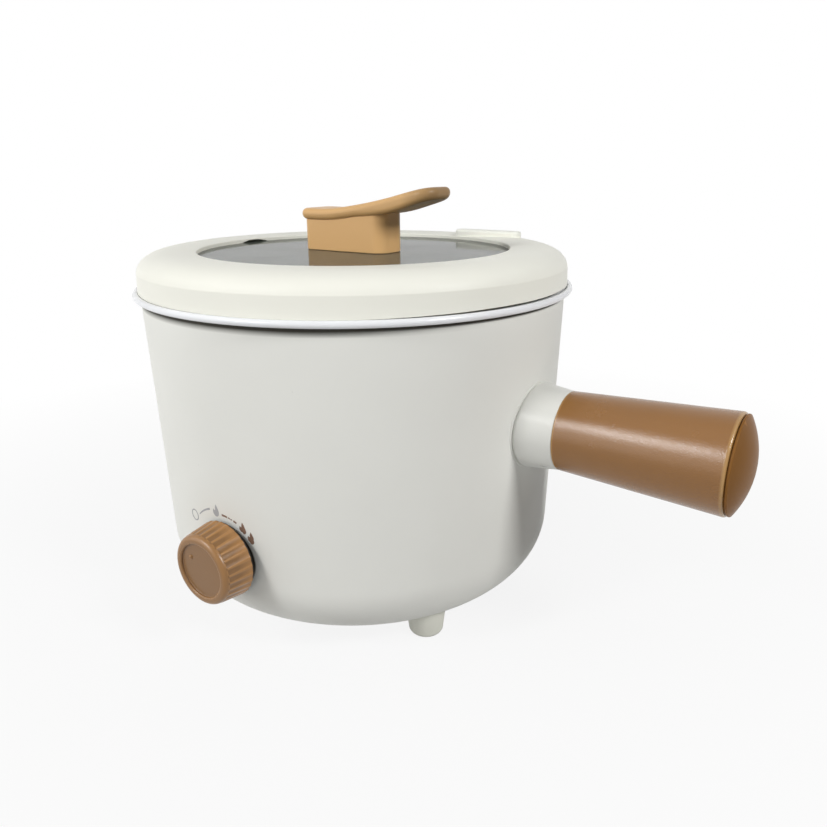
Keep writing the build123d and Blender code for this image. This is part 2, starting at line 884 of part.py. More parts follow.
def make_grip_block():
    """Rounded block on the glass, its top cut to the plate's sweep."""
    plan = RectangleRounded(block_length, block_width, block_corner_radius)
    column = Pos(block_shift, 0, glass_top) * extrude(plan, plate_height + plate_rise)
    ground = Line((plate_start, glass_top), (plate_start + plate_length, glass_top))
    return drill_grip(column & side_prism(ground, sweep_line(0), plate_width))


def make_grip_plate():
    """S-swept plate with a rounded tail and nose."""
    plate = side_prism(sweep_line(0), sweep_line(plate_thickness), plate_width)
    tail, nose = plate_start, plate_start + plate_length
    half = plate_width / 2
    plan = outline_face(
        [(tail, -half), (nose, -half), (nose, half), (tail, half)],
        [plate_tail_radius, plate_nose_radius, plate_nose_radius, plate_tail_radius],
    )
    column = Pos(0, 0, glass_top) * extrude(plan, plate_height + plate_rise + plate_thickness + overrun)
    plate = plate & column
    faces = plate.faces().sort_by(SortBy.AREA)[-2:]
    rims = [edge for face in faces for edge in face.edges()]
    return fillet(rims, plate_edge_round)


def make_lid_tab(ring):
    """Low straight bar that stands on the ring near its inner lip."""
    low = glass_bottom
    high = lip_height + tab_rise
    plan = RectangleRounded(tab_length, tab_width, tab_corner_radius)
    bar = Pos(tab_start + tab_length / 2, tab_front + tab_width / 2, low) * extrude(plan, high - low)
    bar = fillet(bar.edges().group_by(Axis.Z)[-1], tab_edge_round)
    return bar - rod(shoulder_radius, low, glass_top) - ring


def at_places(piece, places, height):
    """Copies of a piece at places in plan."""
    return [Pos(x, y, height) * piece for x, y in places]


outer_shell = make_outer_shell()
lid_ring = make_lid_ring()
cover_low = floor_gap - cover_thickness
cutout_low = heater_bottom - cutout_height
retainer_low = glass_bottom - retainer_shelf
nut_top = tie_bar_bottom - washer_thickness
fuse_form = Rot(0, 90, 0) * Cylinder(fuse_radius, fuse_length)
bracket_screws = at_places(upside_down * screw(bracket_screw), bracket_screw_places, bracket_back)
grip_washer_bore = grip_screw["shank"] + loose_gap

nodes = {
    "outer_shell": [outer_shell],
    "base_cover": [make_base_cover()],
    "base_cover_screws": at_places(upside_down * screw(base_screw), cover_screw_places, cover_low),
    "feet": [make_foot(place) for place in foot_places],
    "foot_screws": at_places(upside_down * screw(foot_screw), foot_places, foot_screw_seat),
    "inner_pot": [make_inner_pot()],
    "heater_plate": [make_heater_plate()],
    "heating_element": [element_form(element_tube_radius)],
    "overheat_cutout": [rod(cutout_radius, cutout_low, heater_bottom, (-cutout_place, 0))],
    "thermal_fuse": [Pos(cutout_place, 0, heater_bottom - fuse_radius - thread_gap) * fuse_form],
    "pot_stud": [rod(stud_radius, heater_bottom - stud_length, heater_bottom)],
    "stud_spacers": make_spacers(),
    "heat_shield": [make_heat_shield()],
    "tie_bar": [make_tie_bar()],
    "tie_bar_screws": at_places(screw(base_screw), tie_post_places, tie_bar_top),
    "stud_washer": [washer(washer_radius, stud_radius + loose_gap, nut_top, washer_thickness)],
    "stud_nut": [Pos(0, 0, nut_top - nut_height) * nut(stud_radius + thread_gap)],
    "control_bracket": [out_of_front * make_control_bracket()],
    "control_bracket_screws": [out_of_front * piece for piece in bracket_screws],
    "thermostat": [out_of_front * make_control_body()],
    "control_spindle": [out_of_front * make_spindle()],
    "control_knob": [out_of_front * make_knob()],
    "cord_gland": [make_gland(outer_shell)],
    "terminal_block": [make_terminal_block()],
    "base_wires": make_wires(),
    "handle_collar": [make_collar()],
    "handle_grip": [make_grip()],
    "handle_end_cap": [make_end_cap()],
    "handle_bolt": [make_bolt()],
    "handle_washers": make_bolt_washers(),
    "handle_nut": [along_handle * Pos(0, 0, bolt_seat + washer_thickness) * nut(bolt_radius + thread_gap)],
    "lid_ring": [lid_ring],
    "lid_retainer": [make_retainer()],
    "lid_retainer_screws": at_places(upside_down * screw(small_screw), lid_screw_places, retainer_low),
    "lid_gasket": [washer(retainer_radius, retainer_radius - gasket_width, lid_seat, gasket_thickness)],
    "lid_glass": [make_glass()],
    "lid_grip_block": [make_grip_block()],
    "lid_grip_plate": [drill_grip(make_grip_plate())],
    "lid_grip_screws": at_places(upside_down * screw(grip_screw), grip_screw_places, grip_screw_seat),
    "lid_grip_washers": [
        washer(grip_washer_radius, grip_washer_bore, grip_screw_seat, grip_washer_thickness, place)
        for place in grip_screw_places
    ],
    "lid_tab": [make_lid_tab(lid_ring)],
}

os.makedirs("parts", exist_ok=True)
for name, pieces in nodes.items():
    solids = [solid for piece in pieces for solid in piece.solids()]
    export_step(Compound(solids), f"parts/{name}.step")
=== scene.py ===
"""Looks of a small electric cooking pan with a lift-off glass lid and one straight handle.

The file is laid out as an add-on and run as a script around the packed model. Lengths are in metres.
"""

import math

import bmesh
import bpy
from mathutils import Matrix, Vector


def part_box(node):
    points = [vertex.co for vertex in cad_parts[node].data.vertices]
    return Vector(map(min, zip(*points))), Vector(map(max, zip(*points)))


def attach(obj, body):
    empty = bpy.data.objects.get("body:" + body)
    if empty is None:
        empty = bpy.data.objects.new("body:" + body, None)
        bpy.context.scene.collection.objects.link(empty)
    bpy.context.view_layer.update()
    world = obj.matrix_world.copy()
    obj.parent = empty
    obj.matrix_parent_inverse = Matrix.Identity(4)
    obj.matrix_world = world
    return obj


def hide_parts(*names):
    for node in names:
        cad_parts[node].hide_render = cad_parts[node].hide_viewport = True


bl_info = {
    "name": "Electric cooking pan",
    "version": (1, 0, 0),
    "blender": (4, 5, 0),
    "location": "View3D > Sidebar > Cooking pan",
    "description": "Models and finishes the visible pieces of a small electric cooking pan",
    "category": "Add Mesh",
}

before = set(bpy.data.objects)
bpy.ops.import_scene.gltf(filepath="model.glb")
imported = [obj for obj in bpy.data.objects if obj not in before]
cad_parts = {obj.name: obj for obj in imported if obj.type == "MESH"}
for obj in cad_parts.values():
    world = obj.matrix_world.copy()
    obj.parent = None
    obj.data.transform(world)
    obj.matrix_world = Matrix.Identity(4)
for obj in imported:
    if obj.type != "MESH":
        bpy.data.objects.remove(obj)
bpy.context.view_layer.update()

SHELL_LOW, SHELL_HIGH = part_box("outer_shell")
POT_LOW, POT_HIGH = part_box("inner_pot")
KNOB_LOW, KNOB_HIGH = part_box("control_knob")
GLAND_LOW, GLAND_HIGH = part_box("cord_gland")
GRIP_LOW, GRIP_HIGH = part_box("handle_grip")
RING_LOW, RING_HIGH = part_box("lid_ring")
GLASS_LOW, GLASS_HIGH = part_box("lid_glass")
BLOCK_LOW, BLOCK_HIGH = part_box("lid_grip_block")
PLATE_LOW, PLATE_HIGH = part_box("lid_grip_plate")
TAB_LOW, TAB_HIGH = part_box("lid_tab")

TURN_STEPS = 240
ROUND_STEPS = 6
LARGE_ROUND = 0.004
LARGE_ROUND_STEPS = 20
CURVE_STEPS = 18
MERGE_GAP = 1e-7
SHARP_ANGLE = math.radians(38)
CREASE_ANGLE = math.radians(12)
RIGHT_ANGLE = math.radians(90)
FULL_TURN = 2 * math.pi
FOCAL_PIXELS = 731.67
WIDTH_PIXELS = 827
SEAT_ROUND_SHARE = 0.7
GLAND_LIP_SHARE = 1.4
SWEEP_SHARES = ((0, 0), (0.24, 0.01), (0.48, 0.24), (0.68, 0.52), (0.87, 0.85), (1, 1))


def length(name, default, description):
    """A size in metres that a user may change."""
    return bpy.props.FloatProperty(
        name=name, description=description, default=default, unit="LENGTH", precision=5
    )


def share(name, default, description):
    """A plain ratio that a user may change."""
    return bpy.props.FloatProperty(name=name, description=description, default=default, precision=4)


def watts(name, default, description):
    """A lamp's power that a user may change."""
    return bpy.props.FloatProperty(name=name, description=description, default=default, unit="POWER")


def turn(name, degrees, description):
    """An angle that a user may change, given in degrees."""
    return bpy.props.FloatProperty(
        name=name, description=description, default=math.radians(degrees), subtype="ANGLE"
    )


def count(name, default, description):
    """A number of repeats that a user may change."""
    return bpy.props.IntProperty(name=name, description=description, default=default, min=1)


def point(name, default, description):
    """A place that a user may change."""
    return bpy.props.FloatVectorProperty(
        name=name, description=description, default=default, size=3, subtype="XYZ", unit="LENGTH"
    )


def tint(name, default, description):
    """A linear colour that a user may change."""
    return bpy.props.FloatVectorProperty(
        name=name, description=description, default=default, size=3, subtype="COLOR", min=0, max=1
    )


class ShellSizes(bpy.types.PropertyGroup):
    """Sizes of the white outer shell."""

    top_radius: length("Top radius", -SHELL_LOW.x, "Outside radius at the top edge")
    top_height: length("Top height", SHELL_HIGH.z, "Height of the top edge")
    floor_gap: length("Floor gap", SHELL_LOW.z, "Height of the flat bottom above the floor")
    draft_share: share("Draft", 0.03, "How far the wall leans in for each unit down")
    corner_radius: length("Bottom round", 0.029, "Radius of the rounded bottom edge")
    wall: length("Wall", 0.0024, "Thickness of the wall")
    base_opening: length("Base opening", 0.046, "Radius of the opening in the bottom")
    edge_round: length("Edge round", 0.0005, "Radius of the small edges")


class PotSizes(bpy.types.PropertyGroup):
    """Sizes of the inner pot and its rolled rim."""

    rim_radius: length("Rim radius", POT_HIGH.x, "Outside radius of the rolled rim")
    bead_radius: length("Bead radius", 0.00145, "Radius of the rolled rim's section")
    mouth_radius: length("Mouth radius", 0.0875, "Inside radius at the mouth")
    wall: length("Wall", 0.0015, "Thickness of the pressed sheet")
    underside: length("Underside", POT_LOW.z, "Height of the pot's underside")
    draft_share: share("Draft", 0.035, "How far the wall leans in for each unit down")
    corner_radius: length("Floor round", 0.018, "Inside radius where the wall meets the floor")
    lip_round: length("Lip round", 0.003, "Radius where the wall turns into the rim")


class FootSizes(bpy.types.PropertyGroup):
    """Sizes of the round feet."""

    repeats: count("Feet", 3, "How many feet stand round the bottom")
    first_angle: turn("First foot", -28.8, "Direction of the first foot, from the handle")
    place: length("Place", 0.0713, "Distance of each foot from the middle")
    radius: length("Radius", 0.0088, "Radius of a foot at the shell")
    tip_radius: length("Tip radius", 0.0073, "Radius of a foot at the floor")
    edge_round: length("Edge round", 0.0028, "Radius of the edge at the floor")
    recess_radius: length("Recess radius", 0.0034, "Radius of the sunk screw's hole")
    recess_height: length("Recess height", 0.005, "Height of the sunk screw's seat")
    sink: length("Sink", 0.0006, "How far a foot reaches into the shell's wall")


class HandleSizes(bpy.types.PropertyGroup):
    """Sizes of the collar, the grip and the end cap."""

    height: length("Height", (GRIP_LOW.z + GRIP_HIGH.z) / 2, "Height of the handle's axis")
    seat_radius: length("Seat radius", 0.0189, "Radius of the raised seat on the wall")
    seat_rise: length("Seat rise", 0.0003, "How far the seat stands out from the wall")
    collar_root: length("Collar root", 0.0185, "Radius of the collar at the wall")
    root_round: length("Root round", 0.0016, "Radius where the collar turns in to the wall")
    collar_end: length("Collar end", 0.0167, "Radius of the collar at the grip")
    grip_start: length("Grip start", GRIP_LOW.x, "Where the grip starts")
    grip_end: length("Grip end", GRIP_HIGH.x, "Where the grip ends")
    end_radius: length("End radius", 0.0199, "Radius of the grip at its far end")
    edge_round: length("Edge round", 0.0007, "Radius of the grip's and the cap's edges")
    end_round: length("End round", 0.001, "Radius of the grip's far edge")
    groove_width: length("Groove width", 0.0005, "Width of the groove behind the cap")
    groove_depth: length("Groove depth", 0.0008, "Depth of the groove behind the cap")
    cap_edge: length("Cap edge", 0.0007, "Height of the cap's straight edge")
    cap_inset: length("Cap inset", 0.0006, "How far the cap's edge is set in from the grip's end")
    dome_rise: length("Dome rise", 0.0052, "Height of the cap's dome")


class KnobSizes(bpy.types.PropertyGroup):
    """Sizes of the fluted control knob."""

    height: length("Height", (KNOB_LOW.z + KNOB_HIGH.z) / 2, "Height of the knob's axis")
    aside: length("Aside", (KNOB_LOW.x + KNOB_HIGH.x) / 2, "How far the axis lies towards the handle")
    base: length("Base", -KNOB_HIGH.y, "Distance of the knob's base from the pan's axis")
    depth: length("Depth", 0.0141, "Height of the knob above its base")
    base_radius: length("Base radius", 0.0166, "Radius at the base")
    taper_share: share("Taper", 0.1186, "How far the side leans in for each unit out")
    side_depth: length("Side depth", 0.0118, "Height of the fluted side above the base")
    undercut: length("Undercut", 0.0009, "Depth and height of the step behind the fluted side")
    rim_step: length("Rim step", 0.00015, "How far the smooth rim is set in from the flutes' ridges")
    rim_round: length("Rim round", 0.0021, "Radius of the outer rim")
    dish_radius: length("Dish radius", 0.0115, "Radius of the dished face")
    dish_depth: length("Dish depth", 0.0012, "Depth of the dished face")
    dish_round: length("Dish round", 0.0008, "Radius of the dish's edges")
    wall: length("Wall", 0.0026, "Thickness of the side wall")
    cavity: length("Cavity", 0.0075, "Depth of the hollow behind the face")
    flutes: count("Flutes", 30, "How many flutes run down the side")
    flute_radius: length("Flute radius", 0.0027, "Radius of a flute's section")
    flute_depth: length("Flute depth", 0.00045, "Depth of a flute")
    flute_fade: length("Flute fade", 0.0024, "Height over which the flutes run out at the base")
    dot_radius: length("Dot radius", 0.001, "Radius of the pointer dot")
    dot_rise: length("Dot rise", 0.0007, "Height of the pointer dot")
    dot_place: length("Dot place", 0.0074, "Distance of the dot from the knob's axis")
    dot_angle: turn("Dot angle", -56, "Direction of the dot, clockwise from up")


class DialSizes(bpy.types.PropertyGroup):
    """Sizes of the heat marks printed round the knob."""

    lift: length("Lift", 0.00004, "How far the print stands out from the wall")
    thickness: length("Thickness", 0.00006, "Thickness of the print")
    aside: length("Aside", 0.0022, "How far the dial's centre lies towards the handle")
    height: length("Height", 0.0462, "Height of the dial's centre")
    ring_angle: turn("Off ring angle", -54, "Direction of the off ring")
    ring_place: length("Off ring place", 0.0233, "Distance of the off ring from the dial's centre")
    ring_size: length("Off ring size", 0.0052, "Outside width of the off ring")
    ring_line: length("Off ring line", 0.0005, "Line width of the off ring")
    wedge_start: turn("Wedge start", -44, "Thin end of the tapered arc")
    wedge_end: turn("Wedge end", -19, "Thick end of the tapered arc")
    wedge_place: length("Wedge place", 0.0214, "Radius of the tapered arc")
    wedge_width: length("Wedge width", 0.0009, "Width of the tapered arc's thick end")
    dashes_start: turn("Dashes start", 1, "Start of the broken arc")
    dashes_end: turn("Dashes end", 24.7, "End of the broken arc")
    dashes_place: length("Dashes place", 0.01945, "Radius of the broken arc")
    dashes_width: length("Dashes width", 0.00095, "Width of the broken arc")
    low_angle: turn("Low flame angle", -8.6, "Direction of the low heat's flame")
    low_place: length("Low flame place", 0.0207, "Distance of the low heat's flame from the dial's centre")
    flame_height: length("Flame height", 0.0052, "Height of the low heat's flame")
    tongue_turn: turn("Tongue turn", 2, "How far a high flame's two tongues lie to either side")


class LidSizes(bpy.types.PropertyGroup):
    """Sizes of the lid's domed ring."""

    skirt_radius: length("Skirt radius", RING_HIGH.x, "Radius at the lower edge")
    skirt_height: length("Skirt height", RING_LOW.z, "Height of the lower edge")
    crease_radius: length("Crease radius", 0.0974, "Radius where the dome starts")
    crease_height: length("Crease height", 0.1577, "Height where the dome starts")
    crease_turn: turn("Crease turn", 11, "How far the dome leans in where it starts")
    crest_radius: length("Crest radius", 0.0823, "Radius of the dome's highest line")
    crest_height: length("Crest height", 0.1654, "Height of the dome's highest line")
    dome_power: share("Dome power", 2.4, "How square the dome's shoulder is")
    skirt_sag: length("Skirt sag", 0.0007, "How far the lower edge sags towards the rim at the left")
    sag_angle: turn("Sag angle", -130, "Direction of the lowest part of the lower edge")
    sag_reach: turn("Sag reach", 110, "How far to either side of that the sag ends")
    sag_core: turn("Sag core", 78, "How far to either side of that the sag is full")
    lip_height: length("Lip height", 0.1647, "Height of the lip round the window")
    window_radius: length("Window radius", 0.0715, "Radius of the window")
    well_radius: length("Well radius", 0.0774, "Radius of the well that holds the glass")
    lip_round: length("Lip round", 0.0006, "Radius of the small edges")
    wall: length("Wall", 0.0024, "Thickness of the ring's wall")
    roof_gap: length("Roof gap", 0.0004, "How far the hollow's roof lies under the glass top")
    vent_width: length("Vent width", 0.0176, "Width of the steam slot opposite the handle")
    vent_height: length("Vent height", 0.0013, "Height of the steam slot over the glass")
    vent_slope: length("Vent slope", 0.006, "Width of the steam slot's slanted ends")
    vent_shift: length("Vent shift", 0.0038, "How far the steam slot lies beside the handle's line")


class LidGripSizes(bpy.types.PropertyGroup):
    """Sizes of the lid's grip and of the low tab beside the window."""

    block_corner: length("Block corner", 0.006, "Radius of the block's upright corners")
    block_foot_round: length("Block foot round", 0.0005, "Radius of the block's edge on the glass")
    plate_thickness: length("Plate thickness", 0.005, "Thickness of the swept plate")
    plate_tail: length("Tail corner", 0.005, "Corner radius at the low end")
    plate_nose: length("Nose corner", 0.008, "Corner radius at the raised end")
    plate_round: length("Plate round", 0.00245, "Radius of the plate's edges")
    nose_swell: length("Nose swell", 0.0014, "How much thicker the plate is below its nose")
    swell_start_share: share("Swell start", 0.45, "Share of the plate's length where its nose starts")
    plate_cuts: count("Plate cuts", 48, "How many strips the plate bends in")
    tab_corner: length("Tab corner", 0.003, "Corner radius of the tab")
    tab_round: length("Tab round", 0.0014, "Radius of the tab's top edge")


class FinishColours(bpy.types.PropertyGroup):
    """Colours of the finishes."""

    shell_white: tint("Shell white", (0.80, 0.80, 0.755), "Outer shell, collar and gland")
    # Painted shade: a darker, yellower white for the feet, which sit in the shade under the pan
    foot_white: tint("Foot white", (0.77, 0.77, 0.69), "Feet")
    lid_cream: tint("Lid cream", (0.91, 0.905, 0.82), "Lid ring and retainer")
    tab_white: tint("Tab white", (0.97, 0.97, 0.89), "Low tab on the lid")
    pot_coat: tint("Pot coat", (0.84, 0.85, 0.87), "Coated pot and its rolled rim")
    tan: tint("Tan", (0.26, 0.112, 0.020), "Handle's grip")
    light_tan: tint("Light tan", (0.63, 0.385, 0.168), "Lid grip")
    # Painted shade: a deeper tan for the end cap, which faces away from most of the light
    cap_tan: tint("Cap tan", (0.195, 0.086, 0.020), "End cap")
    knob_tan: tint("Knob tan", (0.225, 0.112, 0.036), "Knob")
    window: tint("Window", (0.62, 0.64, 0.60), "Body colour of the glass")
    # Painted shadow: dark tone for the shade below the pot's rim and on the wall behind the knob
    painted_shadow: tint("Gap shade", (0.06, 0.055, 0.045), "Dark gaps below the pot's rim and behind the knob")
    # Painted highlight: pale tan for the grip's rounded ends
    edge_highlight_tan: tint("Edge tan", (0.42, 0.235, 0.075), "Paler edges of the handle's grip")
    # Painted shade: dark diffuse sheet mixed in patches over the glass to dim its bright reflections
    painted_glass_shade: tint("Smoke", (0.12, 0.135, 0.115), "Film on the glass")
    base_white: tint("Base white", (0.70, 0.70, 0.66), "Plate under the shell")
    silicone: tint("Silicone", (0.36, 0.31, 0.18), "Gasket and washers")
    steel: tint("Steel", (0.56, 0.57, 0.58), "Screws, stud, bars and spindle")
    alloy: tint("Alloy", (0.50, 0.50, 0.51), "Cast heater plate")
    sheath: tint("Sheath", (0.17, 0.17, 0.17), "Tubular element")
    cutout: tint("Cut-out case", (0.42, 0.40, 0.36), "Heat cut-offs")
    control: tint("Control black", (0.025, 0.025, 0.027), "Rotary control's case")
    porcelain: tint("Porcelain", (0.80, 0.79, 0.75), "Terminal block")
    wire: tint("Wire cover", (0.60, 0.58, 0.50), "Sleeved wires")
    ink_grey: tint("Grey ink", (0.36, 0.36, 0.37), "Off and low marks")
    ink_brown: tint("Brown ink", (0.21, 0.125, 0.085), "High marks")


class ToneSizes(bpy.types.PropertyGroup):
    """Places and strengths of the painted shades and highlights that are blended into the finishes."""

    # Painted shadow below the pot's rim: a soft band that is strongest at the front, and a thin dark line
    # all round
    rim_shadow_soft: length("Soft gap", 0.0046, "Depth below the shell's top where the front's soft shade starts")
    rim_shadow_deep: length("Deep gap", 0.0021, "Depth below the shell's top where the soft shade is full")
    rim_shadow_side: length("Gap side", 0.035, "Distance out to the front where the soft shade starts")
    rim_shadow_front: length("Gap front", 0.088, "Distance out to the front where the soft shade is full")
    shadow_line_start: length("Line start", 0.0026, "Depth below the shell's top where the dark line starts")
    shadow_line_full: length("Line full", 0.0019, "Depth below the shell's top where the dark line is full")
    # Painted shadow on the wall behind the knob
    knob_full: length("Knob shade", 0.003, "How far inside the knob's base radius its shade is full")
    knob_end: length("Knob shade end", 0.0022, "How far inside the knob's base radius its shade ends")
    knob_front: length("Knob shade front", 0.02, "Distance out to the front where the knob's shade is full")
    # Painted shade on the lid's skirt below the crease, which faces a little downwards
    skirt_shade_start: length("Skirt start", 0.0001, "Height above the crease where the skirt's tone starts")
    skirt_shade_full: length("Skirt full", 0.0004, "Depth below the crease where the skirt's tone is full")
    skirt_painted_shade: share("Skirt tone", 0.955, "Tone of the lid's skirt against its dome")
    collar_tone: share("Collar tone", 0.92, "Tone of the collar against the shell")
    # Painted shade in the knob's undercut next to the wall
    undercut_start: length("Undercut start", 0.0002, "Height over the undercut where its shade starts")
    undercut_full: length("Undercut full", 0.00005, "Height over the undercut where its shade is full")
    undercut_painted_shade: share("Undercut tone", 0.04, "Tone of the knob's undercut against its side")
    # Painted shade on the lid grip's nose, where it curves away from the light
    nose_shade_start: length("Nose start", 0.015, "Distance from the lid grip's nose where its tone starts")
    nose_shade_full: length("Nose full", 0.001, "Distance from the lid grip's nose where its tone is full")
    nose_painted_shade: share("Nose tone", 0.5, "Tone of the lid grip's nose against its block")
    # Painted highlights along the grip's rounded ends
    near_highlight_start: length("Near edge start", 0.0009, "Width of the pale edge at the collar")
    near_highlight_full: length("Near edge full", 0.0003, "Width of the edge at the collar that is fully pale")
    far_highlight_start: length("Far edge start", 0.0016, "Width of the pale edge at the end cap")
    far_highlight_full: length("Far edge full", 0.0007, "Width of the edge at the end cap that is fully pale")


class StudioSettings(bpy.types.PropertyGroup):
    """Camera, lamps and floor."""

    eye: point("Eye", (0.2213, -0.2704, 0.1995), "Place of the camera")
    aim: point("Aim", (0.0312, 0.0016, 0.0878), "Point that the camera looks at")
    lamp_aim: point("Lamp aim", (0.02, 0, 0.09), "Point that the lamps are turned to")
    roll: turn("Roll", -0.40, "Turn of the camera about its line of sight")
    focal_share: share("Focal share", FOCAL_PIXELS / WIDTH_PIXELS, "Focal length over the picture's width")
    ambient: share("Ambient", 0.02, "Brightness of the surrounding light")
    key_power: watts("Key power", 4.2, "Power of the lamp at the front left")
    top_power: watts("Top power", 0.5, "Power of the large lamp above")
    side_power: watts("Side power", 5.0, "Power of the lamp beyond the handle")
    back_power: watts("Back power", 3.2, "Power of the soft lamp behind the pan")
    fill_power: watts("Fill power", 0.5, "Power of the soft lamp at the right")
    low_power: watts("Low power", 5.2, "Power of the soft lamp at the left")
    floor_size: length("Floor size", 12.0, "Width of the floor")
    floor_near: length("Floor near", 0.10, "Distance where the floor starts to pale")
    floor_far: length("Floor far", 0.45, "Distance where the floor is plain white")
    floor_cover: share("Floor cover", 0.88, "How much of the floor's shade is lifted near the pan")


PROPERTY_GROUPS = {
    "pan_shell": ShellSizes,
    "pan_pot": PotSizes,
    "pan_feet": FootSizes,
    "pan_handle": HandleSizes,
    "pan_knob": KnobSizes,
    "pan_dial": DialSizes,
    "pan_lid": LidSizes,
    "pan_lid_grip": LidGripSizes,
    "pan_colours": FinishColours,
    "pan_tones": ToneSizes,
    "pan_studio": StudioSettings,
}


def add(tree, kind, sockets=None, **options):
    """Add a shader node, set its options and fill its sockets with values or links."""
    made = tree.nodes.new("ShaderNode" + kind)
    for name, value in options.items():
        setattr(made, name, value)
    for name, value in (sockets or {}).items():
        fill(tree, made.inputs[name], value)
    return made


def fill(tree, socket, value):
    """Give a socket a plain value, or link another node's output to it."""
    if isinstance(value, bpy.types.NodeSocket):
        tree.links.new(value, socket)
    else:
        socket.default_value = value


def opaque(colour):
    """A colour with full cover."""
    return (*colour, 1)


def toned(colour, factor):
    """A colour made darker or lighter by a factor, kept below white."""
    return tuple(min(channel * factor, 1) for channel in colour)


FINE_GRAIN = 0.00002
NOISE_LOW = 0.3
NOISE_HIGH = 0.7
CLOUD_SCALE = 22
SMUDGE_SCALE = 60
SMUDGE_SHARE = 0.14
SPECK_SCALE = 120.0
SPECK_EDGE_SHARE = 1.6
SPECK_TONE = 0.45
PATCH_SCALE = 45
PATCH_LOW = 0.62
PATCH_HIGH = 0.66
WORN_LOW = 0.506
WORN_HIGH = 0.535
METAL_CLOUD_SCALE = 70
SCRATCH_SHARE = 0.25
SCRATCH_STRETCH = (1, 1, 14)
FILM_SCALE = 35
WAVE_SCALE = 30
WAVE_DEPTH = 0.00002
# Noise range over which the glass's painted shade sheet covers it
SHADE_COVER_LOW = 0.38
SHADE_COVER_HIGH = 0.46


def noise(tree, place, scale, detail=2.0, roughness=0.5):
    """Even noise of a scale, in spots for each metre."""
    sockets = {"Vector": place, "Scale": scale, "Detail": detail, "Roughness": roughness}
    return add(tree, "TexNoise", sockets).outputs["Fac"]


def spread(tree, value, low, high, start=NOISE_LOW, end=NOISE_HIGH):
    """Map a value from one range, by default a noise's, onto another."""
    sockets = {"Value": value, "From Min": start, "From Max": end, "To Min": low, "To Max": high}
    return add(tree, "MapRange", sockets).outputs["Result"]


def product(tree, first, second):
    """Multiply two values."""
    return add(tree, "Math", {0: first, 1: second}, operation="MULTIPLY").outputs[0]


def cloudy(tree, value, colour, low, high):
    """Tone a colour between two factors by a noise value."""
    ramp = add(tree, "ValToRGB", {"Fac": value})
    stops = ((NOISE_LOW, low), (NOISE_HIGH, high))
    for element, (place, factor) in zip(ramp.color_ramp.elements, stops):
        element.position = place
        element.color = opaque(toned(colour, factor))
    return ramp.outputs["Color"]


def mixed(tree, factor, first, second):
    """Mix two colours by a factor."""
    mix = add(tree, "Mix", data_type="RGBA")
    for index, value in ((0, factor), (6, first), (7, second)):
        fill(tree, mix.inputs[index], value)
    return mix.outputs[2]


def bumped(tree, shader, height, depth):
    """Raise a shader's surface by a noise value."""
    bump = add(tree, "Bump", {"Height": height, "Distance": depth, "Strength": 1.0})
    fill(tree, shader.inputs["Normal"], bump.outputs["Normal"])


def blank_finish(name):
    """A new material with one surface shader, and the object's coordinates."""
    material = bpy.data.materials.new(name)
    material.use_nodes = True
    tree = material.node_tree
    tree.nodes.clear()
    shader = add(tree, "BsdfPrincipled")
    output = add(tree, "OutputMaterial")
    tree.links.new(shader.outputs["BSDF"], output.inputs["Surface"])
    place = add(tree, "TexCoord").outputs["Object"]
    return material, tree, shader, place


def moulded(
    name, colour, roughness, grain_scale, grain_depth, cloud=0.025, speck_share=0.0, gloss=0.5, edge_highlight=0.0
):
    """Moulded plastic: cloudy tone, fine grain, uneven sheen, a few dark specks and painted highlights on
    sharp edges.
    """
    material, tree, shader, place = blank_finish(name)
    clouds = noise(tree, place, CLOUD_SCALE, detail=4)
    tone = cloudy(tree, clouds, colour, 1 - cloud, 1 + cloud)
    if speck_share:
        cells = add(tree, "TexVoronoi", {"Vector": place, "Scale": SPECK_SCALE}).outputs["Distance"]
        spot = spread(tree, cells, 1, 0, speck_share, speck_share * SPECK_EDGE_SHARE)
        rare = spread(tree, noise(tree, place, PATCH_SCALE, detail=1), 0, 1, PATCH_LOW, PATCH_HIGH)
        tone = mixed(tree, product(tree, spot, rare), tone, opaque(toned(colour, SPECK_TONE)))
    # Painted highlight: sharp edges, found by the mesh's pointiness, are made paler
    if edge_highlight:
        bend = add(tree, "NewGeometry").outputs["Pointiness"]
        edges = spread(tree, bend, 0, 1, WORN_LOW, WORN_HIGH)
        tone = mixed(tree, edges, tone, opaque(toned(colour, 1 + edge_highlight)))
    fill(tree, shader.inputs["Base Color"], tone)
    smudges = noise(tree, place, SMUDGE_SCALE, detail=5, roughness=0.6)
    shiny, dull = roughness * (1 - SMUDGE_SHARE), roughness * (1 + SMUDGE_SHARE)
    fill(tree, shader.inputs["Roughness"], spread(tree, smudges, shiny, dull))
    shader.inputs["Specular IOR Level"].default_value = gloss
    bumped(tree, shader, noise(tree, place, grain_scale, detail=2), grain_depth)
    return material


def blend_over(material, amount, colour):
    """Blend a colour over a finish's own tone by an amount."""
    tree = material.node_tree
    shader = next(node for node in tree.nodes if node.bl_idname == "ShaderNodeBsdfPrincipled")
    base = shader.inputs["Base Color"]
    fill(tree, base, mixed(tree, amount, base.links[0].from_socket, opaque(colour)))
    return material


def banded(material, axis, start, end, colour, across=None):
    """Blend a colour in along one axis between two places, fading along another axis if one is given."""
    tree = material.node_tree
    parts = add(tree, "SeparateXYZ", {0: add(tree, "TexCoord").outputs["Object"]})
    amount = spread(tree, parts.outputs[axis], 0, 1, start, end)
    if across:
        side, first, last = across
        amount = product(tree, amount, spread(tree, parts.outputs[side], 0, 1, first, last))
    return blend_over(material, amount, colour)


